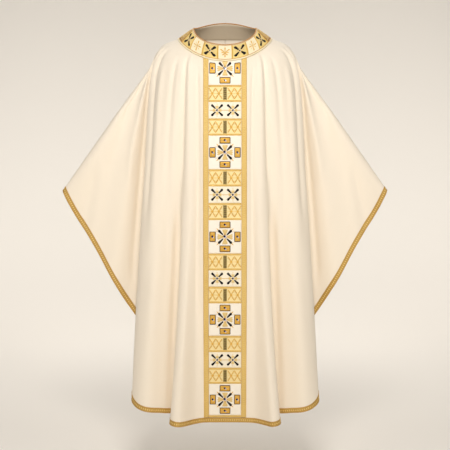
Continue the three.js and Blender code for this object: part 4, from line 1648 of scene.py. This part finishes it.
class BandBuilder:
    """The embroidered centre band of one side.

    Heights are in millimetres over the panel cloth: BASE and CLOTH are the band's two
    faces, GROUND is the underside of the panels on it, and TOP is their face.
    """

    BASE = 0.25
    CLOTH = 1.0
    GROUND = 1.02
    TOP = 1.3
    SUNK = 0.1
    HEM_GAP = 0.5
    FIELD_GAP = 0.5

    def __init__(self, side: Side, patch: Patch, workshop: Workshop, braid: Braid,
                 pattern: BandPattern, sizes: GarmentSizes) -> None:
        """Keeps what the band is made with."""
        self.side = side
        self.patch = patch
        self.workshop = workshop
        self.braid = braid
        self.pattern = pattern
        self.sizes = sizes
        self.border = Border()
        self.bottom_edge = float(patch.b[0]) + sizes.braid_width + self.HEM_GAP
        self.first = pattern.front_first if side is Side.FRONT else pattern.back_first

    def build(self) -> None:
        """Makes the ground, the side braids and every panel."""
        self._ground()
        half, inner = self.sizes.band_half, self.sizes.field_half
        word = self.side.word
        hands = ("right", "left") if self.side is Side.FRONT else ("left", "right")
        span = (self.bottom_edge, BAND_TOP)
        for hand, borders in zip(hands, ((inner, half), (-half, -inner))):
            node = f"{word}_band_braid_{hand}"
            self.braid.lay(Run(node + "_weave", self.patch, span, borders, self.TOP, True), node)
        pattern = self.pattern
        for n in range(pattern.crosses):
            middle = -(self.first + n * pattern.repeat)
            self._large_cross(n + 1, middle, LargeCross())
            if n == pattern.crosses - 1:
                self._end_strip(middle)
                break
            for which, drop in (("a", pattern.lattice_middle()),
                                ("b", pattern.repeat - pattern.lattice_middle())):
                self._lattice(f"{n + 1}{which}", middle - drop, Lattice())
            self._twin_cross(n + 1, middle - pattern.repeat / 2, TwinCross())
        if self.side is Side.BACK:
            bottom = -(self.first - pattern.cross_half)
            self._panel("top_ground", BAND_TOP, bottom, Look.LATTICE_GROUND)
            motifs = Motifs()
            self._border(motifs, bottom + self.border.back_drop)
            motifs.lay("back_top_border", self.workshop, self.patch)

    def _ground(self) -> None:
        """The band itself."""
        half = self.sizes.band_half
        across = np.linspace(-half, half, 27)
        up = np.linspace(self.bottom_edge, BAND_TOP, 260)
        shape = Shape()
        shape.grid(across, up, self.BASE, np.full((len(across), len(up)), self.CLOTH))
        word = self.side.word
        band = self.workshop.lay(f"{word}_band_cloth", shape, self.patch, Look.GROUND, [f"{word}_band"])

    def _panel(self, name: str, top: float, bottom: float, look: Look) -> None:
        """A rectangle of ground cloth between the side braids."""
        inner = self.sizes.field_half - self.FIELD_GAP
        top = min(top, BAND_TOP)
        bottom = max(bottom, self.bottom_edge)
        across = np.linspace(-inner, inner, 29)
        up = np.linspace(bottom, top, max(4, round((top - bottom) / 4)))
        shape = Shape()
        shape.grid(across, up, self.GROUND, np.full((len(across), len(up)), self.TOP))
        self.workshop.lay(f"{self.side.word}_{name}", shape, self.patch, look)

    def _border(self, motifs: Motifs, middle: float) -> None:
        """Three waving cords side by side, right across the field."""
        sizes = self.border
        inner = self.sizes.field_half - 0.6
        x = np.linspace(-inner, inner, 140)
        for shift in (-sizes.spacing, 0.0, sizes.spacing):
            wave = sizes.wave * np.sin(x * 2 * math.pi / sizes.length + shift)
            motifs.thread(Look.BORDER, x, middle + shift + wave, self.TOP + 0.3, sizes.radius)

    def _large_cross(self, number: int, middle: float, sizes: LargeCross) -> None:
        """The cross with four stone-set tablets, petals and fans."""
        word, half = self.side.word, self.pattern.cross_half
        self._panel(f"cross_ground_{number}", middle + half, middle - half, Look.GROUND)
        motifs = Motifs()
        low = self.TOP - self.SUNK
        for degrees in STRAIGHT:
            angle = math.radians(degrees)
            tablet = sizes.side if degrees % 180 == 0 else sizes.end
            y = tablet.out * math.sin(angle)
            if y > 0 and middle + y + sizes.clear > BAND_TOP:
                continue
            self._tablet(motifs, tablet.out * math.cos(angle), middle + y, tablet, sizes)
        motifs.at(0, middle, low)
        room = (BAND_TOP - sizes.petal_clear - middle) / math.sin(math.pi / 4)
        for degrees in SLANTED:
            above = degrees < 180
            petal = sizes.petal
            if above:
                petal = replace(petal, end=min(petal.end, room))
            motifs.petal(Look.BLACK, degrees, petal)
            if room > sizes.tip_room or not above:
                self._scroll(motifs, degrees, sizes)
        for degrees in STRAIGHT:
            motifs.fan(degrees, sizes.fan)
            for spread in (-sizes.ray_spread, 0, sizes.ray_spread):
                angle = math.radians(degrees + spread)
                radii = np.linspace(sizes.ring, sizes.ray_end, 5)
                across, up = radii * math.cos(angle), middle + radii * math.sin(angle)
                motifs.thread(Look.GOLD, across, up, low + 0.9, 0.5)
        turns = np.radians(np.arange(0, 360, 15))
        ring = np.c_[
            sizes.ring * np.cos(turns), middle + sizes.ring * np.sin(turns), np.full(len(turns), low + 0.8)]
        motifs[Look.GOLD].tube(ring, 0.7, 5, closed=True)
        motifs.stones(sizes.stones)
        name = f"{word}_cross_{number}"
        motifs.lay(name, self.workshop, self.patch, name)
        self._stand_for(f"{name}_{Look.STONE.value.name}", f"{word}_stone_{number}")

    def _stand_for(self, piece: str, node: str) -> None:
        """Lets a piece stand for one more CAD node."""
        if node in self.workshop.nodes and piece in bpy.data.objects:
            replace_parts(bpy.data.objects[piece], node)

    def _tablet(self, motifs: Motifs, x: float, y: float, tablet: Tablet, sizes: LargeCross) -> None:
        """One outlined gold rectangle with a dark stone, a pale chip beside it painting the stone's
        highlight, and short darts beside them.
        """
        low = self.TOP - self.SUNK
        wide, tall = tablet.wide, tablet.tall
        outline = rounded_rectangle(x, y, wide, tall, sizes.corner)
        motifs[Look.OUTLINE].dome(outline, low, low + 0.7, low + 0.95)
        gold = rounded_rectangle(x, y, wide - sizes.frame, tall - sizes.frame, sizes.inner_corner)
        motifs[Look.AMBER].dome(gold, low + 0.5, low + 1.1, low + 1.6)
        reach = max(wide, tall) / 2 - sizes.dart_inset
        for sign in (-1, 1):
            for spread in (-sizes.dart_spread, 0.0, sizes.dart_spread):
                along = np.array([sign * sizes.dart_start, sign * reach])
                beside = np.array([0.0, spread])
                across, up = (beside, along) if tall > wide else (along, beside)
                motifs.thread(Look.BORDER, x + across, y + up, low + 1.8, 0.55)
        motifs.at(x, y, low)
        motifs.stones(sizes.tablet_stones)

    @staticmethod
    def _scroll(motifs: Motifs, degrees: float, sizes: LargeCross) -> None:
        """Two small gold curls and a pointed tip beyond a petal."""
        x, y, low = motifs.middle
        turn = np.linspace(0, 1, 12)
        radius = sizes.curl[0] + sizes.curl[1] * np.sin(turn * math.pi * 0.6)
        for hand in (-1, 1):
            angle = np.radians(degrees + hand * (sizes.curl_turn[0] + sizes.curl_turn[1] * turn))
            across, up = x + radius * np.cos(angle), y + radius * np.sin(angle)
            motifs.thread(Look.BORDER, across, up, low + 0.5, 0.5)
        motifs.petal(Look.AMBER, degrees, sizes.tip)

    def _twin_cross(self, number: int, middle: float, sizes: TwinCross) -> None:
        """Two small crosses of black petals, joined by gold threads."""
        pattern, word = self.pattern, self.side.word
        half, spacing = pattern.twin_half, pattern.twin_spacing
        self._panel(f"twin_ground_{number}", middle + half, middle - half, Look.TWIN_GROUND)
        motifs = Motifs()
        low = self.TOP - self.SUNK
        for x in (-spacing, spacing):
            motifs.at(x, middle, low)
            for degrees in SLANTED:
                motifs.petal(Look.BLACK, degrees, sizes.petal)
            for degrees in STRAIGHT:
                motifs.fan(degrees, sizes.fan)
            for reach in (-sizes.stem, sizes.stem):
                motifs.thread(Look.BORDER, x, np.linspace(middle, middle + reach, 3), low + 0.9, 0.6)
            motifs.stones(sizes.stones)
        reach = self.sizes.field_half - sizes.inset
        inner, outer = spacing - sizes.gap[0], spacing + sizes.gap[1]
        for start, end in ((-reach, -outer), (-inner, inner), (outer, reach)):
            motifs.thread(Look.GOLD, np.linspace(start, end, 12), middle, low + 0.9, 0.7)
        motifs.lay(f"{word}_twin_{number}", self.workshop, self.patch, f"{word}_twin_cross_{number}")

    def _lattice(self, tag: str, middle: float, sizes: Lattice) -> None:
        """Pale gold panel with crossing wave cords and a beaded bar."""
        word = self.side.word
        half = self.pattern.lattice / 2
        self._panel(f"lattice_ground_{tag}", middle + half, middle - half, Look.LATTICE_GROUND)
        motifs = Motifs()
        for y in (half - sizes.border_inset, -half + sizes.border_inset):
            self._border(motifs, middle + y)
        low = self.TOP + 0.3
        inner = self.sizes.field_half - 1.0
        x = np.linspace(sizes.start, inner, 50)
        turn = (x - sizes.crest) * math.pi / sizes.half
        swing = 0.45 * np.cos(turn) + 0.55 * np.arcsin(np.cos(turn)) * 2 / math.pi
        for hand in (-1, 1):
            for sign in (-1, 1):
                over = 0.3 + 0.5 * sign * np.sin(turn)
                for size, look, radius in sizes.cords:
                    path = np.c_[hand * x, middle + sign * size * swing, low + over]
                    motifs[look].tube(path, radius, 6)
            motifs.thread(Look.BORDER, hand * np.linspace(sizes.start, inner, 24), middle, low, 0.6)
            for spot in (sizes.crest - sizes.half / 2, sizes.crest + sizes.half / 2):
                ring = np.radians(np.arange(0, 360, 30))
                outline = np.c_[
                    hand * spot + sizes.leaf[0] * np.cos(ring), middle + sizes.leaf[1] * np.sin(ring)]
                motifs[Look.AMBER].dome(outline, low - 0.3, low + 0.6, low + 1.7)
        wide, tall, corner = sizes.bar
        bar = rounded_rectangle(0, middle, wide, tall, corner)
        motifs[Look.BAR].dome(bar, low - 0.3, low + 0.6, low + 0.9)
        for y in sizes.beads:
            motifs.at(0, middle + y, low)
            motifs.stones([sizes.bead, replace(sizes.seed, x=-sizes.seed.x), sizes.seed])
        name = f"{word}_bar_{tag}"
        motifs.lay(name, self.workshop, self.patch, name)

    def _end_strip(self, middle: float) -> None:
        """Closes the last panel above the hem braid with a pale gold strip."""
        motifs = Motifs()
        top = middle - self.pattern.cross_half
        if top - 2 * self.border.end_drop > self.bottom_edge:
            self._panel("end_ground", top, self.bottom_edge, Look.LATTICE_GROUND)
            self._border(motifs, top - self.border.end_drop)
        motifs.lay(f"{self.side.word}_end_strip", self.workshop, self.patch)


# ---- collar -----------------------------------------------------------------------------------


@dataclass(frozen=True)
class CollarSizes:
    """Sizes of the collar, in millimetres; ground is its distance from the two edges."""

    panels: int = 16
    pitch: float = 52.0
    width: float = 66.0
    base: float = 0.3
    thick: float = 1.7
    strip: float = 2.0
    strip_end: float = 3.5
    lines: tuple[tuple[float, float], ...] = ((2.2, 4.2), (62.4, 64.0))
    rib: float = 2.6
    ground_side: float = 2
    ground: tuple[float, float] = (4.5, 5)
    petal: Petal = Petal(6.5, 27.5, 5.0, 10.5, 0.5, 1.7)
    petal_turns: tuple[float, ...] = (50, 130, 230, 310)
    fan: Fan = Fan(4, 17, 22, 11, 0.3, 0.9)
    # A dark stone and, beside it, a pale chip whose colour is a painted highlight on that stone.
    stones: tuple[Stone, ...] = (
        Stone(Look.STONE, -0.8, 0, 3.0, 0.5, 1.6), Stone(Look.PALE_STONE, 1.8, -1.2, 1.7, 0.8, 1.4, 6))
    twist: float = 6.5
    strand: float = 0.95


class CollarBuilder:
    """The raised collar: sixteen panels, gold strips and two pipings."""

    def __init__(self, patch: Patch, workshop: Workshop, sizes: CollarSizes) -> None:
        """Keeps what the collar is made with."""
        self.patch = patch
        self.workshop = workshop
        self.sizes = sizes
        self.reach = sizes.panels / 2 * sizes.pitch

    def build(self) -> None:
        """Makes the band, the panels, the strips and the cords."""
        self._band()
        self._strips()
        self._panels()
        self._cords()

    def _band(self) -> None:
        """The band itself, all the way round."""
        sizes = self.sizes
        across = np.linspace(-self.reach, self.reach, 401)
        up = np.linspace(0.5, sizes.width - 0.5, 16)
        shape = Shape()
        shape.grid(across, up, sizes.base, np.full((401, 16), sizes.thick))
        self.workshop.lay("collar_ground", shape, self.patch, Look.COLLAR_CREAM, ["collar"])

    def _strips(self) -> None:
        """Gold strips between panels and along both edges."""
        sizes = self.sizes
        top = sizes.thick
        shape = Shape()
        for n in range(sizes.panels):
            x = (n + 0.5 - sizes.panels / 2) * sizes.pitch
            across = np.linspace(x - sizes.strip, x + sizes.strip, 5)
            up = np.linspace(sizes.strip_end, sizes.width - sizes.strip_end, 60)
            rib = 0.5 + 0.2 * np.cos(up * 2 * math.pi / sizes.rib)
            shape.grid(across, up, top - 0.1, top + np.tile(rib * 0.7, (5, 1)))
        self.workshop.lay("collar_strips", shape, self.patch, Look.GOLD)
        edges = Shape()
        for low, high in sizes.lines:
            across = np.linspace(-self.reach, self.reach, 801)
            up = np.linspace(low, high, 4)
            rib = 0.55 + 0.2 * np.cos(across * 2 * math.pi / sizes.rib)
            edges.grid(across, up, top - 0.1, top + np.tile(rib[:, None] * 0.7, (1, 4)))
        self.workshop.lay("collar_edge_lines", edges, self.patch, Look.RUST)

    def _panels(self) -> None:
        """The repeating panels: star, cross, leaf, cross, lattice and back."""
        makers = {"star": self._star, "cross": self._cross, "leaf": self._leaf, "lattice": self._lattice}
        kinds = ("star", "cross", "leaf", "cross", "lattice", "cross", "leaf", "cross") * 2
        nodes = {0: "collar_star", 1: "collar_cross_inner_right", 3: "collar_cross_outer_right",
                 15: "collar_cross_inner_left", 13: "collar_cross_outer_left"}
        for n, kind in enumerate(kinds):
            place = n if n <= self.sizes.panels // 2 else n - self.sizes.panels
            motifs = Motifs()
            motifs.at(place * self.sizes.pitch, self.sizes.width / 2, self.sizes.thick + 0.1)
            makers[kind](motifs)
            motifs.lay(f"collar_{kind}_{n:02d}", self.workshop, self.patch, nodes.get(n, ""))

    def _ground_panel(self, motifs: Motifs, look: Look) -> None:
        """A thin ground under one panel's embroidery."""
        sizes = self.sizes
        x = motifs.middle[0]
        half = sizes.pitch / 2 - sizes.ground_side
        across = np.linspace(x - half, x + half, 15)
        up = np.linspace(sizes.ground[0], sizes.width - sizes.ground[1], 15)
        motifs[look].grid(across, up, sizes.thick - 0.1, np.full((15, 15), sizes.thick + 0.12))

    def _cross(self, motifs: Motifs) -> None:
        """Black petals in an X on a pale gold ground."""
        self._ground_panel(motifs, Look.COLLAR_YELLOW)
        for degrees in self.sizes.petal_turns:
            motifs.petal(Look.BLACK, degrees, self.sizes.petal)
        for degrees in STRAIGHT:
            motifs.fan(degrees, self.sizes.fan)
        motifs.stones(self.sizes.stones)

    def _star(self, motifs: Motifs) -> None:
        """A gold star of thin leaves."""
        leaves = ((90, 22), (38, 21), (142, 21), (0, 13), (180, 13), (270, 20), (305, 15), (235, 15))
        for degrees, reach in leaves:
            motifs.petal(Look.AMBER, degrees, Petal(1.5, reach, 1.8, 4.6, 0.4, 1.2))
        motifs.stones([Stone(Look.PALE_GOLD, 0, 0, 2.8, 0.5, 1.3)])

    def _leaf(self, motifs: Motifs) -> None:
        """A gold leaf cross."""
        for degrees, reach, wide in ((90, 22, 5), (270, 22, 5), (0, 17, 4.5), (180, 17, 4.5)):
            motifs.petal(Look.GOLD, degrees, Petal(2, reach, 1.6, wide, 0.4, 1.4))
        for degrees in SLANTED:
            motifs.petal(Look.PALE_GOLD, degrees, Petal(3, 17, 1.2, 3.0, 0.3, 1.0))
        motifs.stones([Stone(Look.PALE_GOLD, 0, 0, 2.6, 0.6, 1.4)])

    def _lattice(self, motifs: Motifs) -> None:
        """Crossing cords on a dark gold ground, on top of each shoulder."""
        self._ground_panel(motifs, Look.COLLAR_GOLD)
        x, y, _ = motifs.middle
        low = self.sizes.thick + 0.4
        spacing = 9
        reach = self.sizes.pitch / 2 - 3
        high = self.sizes.width / 2 - 8
        t = np.linspace(-1, 1, 24)
        for shift in range(-3, 4):
            for hand in (-1, 1):
                px = shift * spacing + hand * t * high
                keep = np.abs(px) <= reach
                if keep.sum() < 3:
                    continue
                height = low + 0.4 * hand * np.cos(t[keep] * 9)
                motifs.thread(Look.PALE_GOLD, x + px[keep], y + t[keep] * high, height, 0.9)

    def _cords(self) -> None:
        """Twisted cords round the neck hole and round the outer edge."""
        sizes = self.sizes
        for name, y, height, radius, look, node in (
            ("inner", sizes.width + 1.8, 0.2, 1.1, Look.RUST, "collar_inner_piping"),
            ("outer", -2.2, 2.2, 1.3, Look.CREAM_CORD, "collar_outer_piping"),
        ):
            shape = Shape()
            x = np.linspace(-self.reach, self.reach, 1500, endpoint=False)
            twist = x * 2 * math.pi / sizes.twist
            for strand in (0, math.pi):
                path = np.c_[x, y + sizes.strand * np.cos(twist + strand),
                             height + sizes.strand * np.sin(twist + strand)]
                shape.tube(path, radius, 6)
            self.workshop.lay(f"collar_{name}_cord", shape, self.patch, look, [node])


# ---- camera, light and floor --------------------------------------------------------------------


@dataclass(frozen=True)
class Lamp:
    """A square soft light, in metres and watts."""

    name: str
    place: tuple[float, float, float]
    aim: tuple[float, float, float]
    size: float
    power: float


LAMPS = (
    Lamp("key", (0.0, -3.4, 1.3), (0, 0, -0.4), 1.0, 98),
    Lamp("top_left", (-1.6, -1.6, 2.4), (0, 0, -0.6), 1.2, 12),
    Lamp("top_right", (1.6, -1.6, 2.4), (0, 0, -0.6), 1.2, 12),
    Lamp("back", (0.0, 3.4, 1.6), (0, 0, -0.5), 1.2, 34),
    Lamp("floor", (0.0, 2.6, 2.4), (0, 2.7, -1.47), 2.4, 40),
    Lamp("wall_left", (-2.2, 4.6, 1.6), (-1.3, 7.0, -1.0), 2.4, 44),
    Lamp("wall_right", (2.2, 4.6, 1.6), (1.3, 7.0, -1.0), 2.4, 44),
)


class Studio:
    """Camera, soft lights, and a plain pale floor that curves up behind, in metres."""

    DISTANCE = 4.0
    EYE = -0.5
    AIM = -0.619
    WIDTH = 1.548
    SENSOR = 36
    FLOOR = -1.47
    WALL = 8.0
    BEND = 4.2
    NEAR = -8.0
    HALF_WIDTH = 14.0
    CEILING = 7.0
    WARM = (1.0, 0.975, 0.94)
    AIR = (1.0, 0.98, 0.955, 1)
    AIR_STRENGTH = 0.22

    def build(self) -> None:
        """Makes the camera, the lights and the floor."""
        self._camera()
        self._world()
        for lamp in LAMPS:
            self._light(lamp)
        self._backdrop()

    def _camera(self) -> None:
        """A long lens in front of the garment, aimed at its middle."""
        data = bpy.data.cameras.new("camera")
        data.sensor_width = self.SENSOR
        data.lens = self.SENSOR * self.DISTANCE / self.WIDTH
        data.clip_end = 100
        camera = bpy.data.objects.new("camera", data)
        camera.location = (0, -self.DISTANCE, self.EYE)
        aim = Vector((0, 0, self.AIM)) - camera.location
        camera.rotation_euler = aim.to_track_quat("-Z", "Y").to_euler()
        bpy.context.scene.collection.objects.link(camera)
        bpy.context.scene.camera = camera

    def _world(self) -> None:
        """Dim light from all round, and plain screen colours."""
        world = bpy.data.worlds.new("studio")
        world.use_nodes = True
        background = world.node_tree.nodes["Background"]
        background.inputs["Color"].default_value = self.AIR
        background.inputs["Strength"].default_value = self.AIR_STRENGTH
        bpy.context.scene.world = world
        bpy.context.scene.view_settings.view_transform = "Standard"

    def _light(self, lamp: Lamp) -> None:
        """Makes one lamp, which the camera doesn't see."""
        data = bpy.data.lights.new(lamp.name, "AREA")
        data.shape = "SQUARE"
        data.size = lamp.size
        data.energy = lamp.power
        data.color = self.WARM
        light = bpy.data.objects.new(lamp.name, data)
        light.location = lamp.place
        aim = Vector(lamp.aim) - Vector(lamp.place)
        light.rotation_euler = aim.to_track_quat("-Z", "Y").to_euler()
        light.visible_camera = False
        bpy.context.scene.collection.objects.link(light)

    def _backdrop(self) -> None:
        """A floor that rolls up into a wall behind the garment."""
        steps = 16
        profile = [(self.NEAR, self.FLOOR), (self.WALL - self.BEND, self.FLOOR)]
        for step in range(1, steps + 1):
            angle = math.pi / 2 * step / steps
            profile.append((self.WALL - self.BEND * (1 - math.sin(angle)),
                            self.FLOOR + self.BEND * (1 - math.cos(angle))))
        profile.append((self.WALL, self.CEILING))
        verts = [(x, y, z) for y, z in profile for x in (-self.HALF_WIDTH, self.HALF_WIDTH)]
        faces = [(2 * i, 2 * i + 1, 2 * i + 3, 2 * i + 2) for i in range(len(profile) - 1)]
        mesh = bpy.data.meshes.new("backdrop")
        mesh.from_pydata(verts, [], faces)
        mesh.polygons.foreach_set("use_smooth", [True] * len(faces))
        material = bpy.data.materials.new("backdrop_paper")
        material.use_nodes = True
        shader = material.node_tree.nodes["Principled BSDF"]
        shader.inputs["Base Color"].default_value = (*srgb(246, 240, 231), 1)
        shader.inputs["Roughness"].default_value = 0.9
        mesh.materials.append(material)
        backdrop = bpy.data.objects.new("backdrop", mesh)
        bpy.context.scene.collection.objects.link(backdrop)


def main() -> None:
    """Builds the whole garment and its studio."""
    logging.basicConfig(level=logging.INFO)
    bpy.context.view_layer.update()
    sizes = GarmentSizes()
    drape = Drape(sizes, Ripple())
    LOG.info("drape has %d columns and %d rows", drape.around, drape.points.shape[1])
    workshop = Workshop(Materials())
    scatter = Scatter(workshop)
    braid = Braid(workshop, scatter, BraidSizes())
    patches = PatchMaker(drape)
    ClothLayers(drape, workshop).build()
    for side in Side:
        edge = patches.edge(side)
        ends = (float(edge.a[0]), float(edge.a[-1]))
        name = f"{side.word}_edge_braid"
        run = Run(name + "_weave", edge, ends, (0.0, sizes.braid_width), braid.sizes.edge_base, False)
        braid.lay(run, name, Look.EDGE_BRAID)
        BandBuilder(side, patches.band(side), workshop, braid, BandPattern(), sizes).build()
    collar = CollarSizes()
    CollarBuilder(patches.collar(collar), workshop, collar).build()
    Studio().build()


if __name__ == "__main__":
    main()
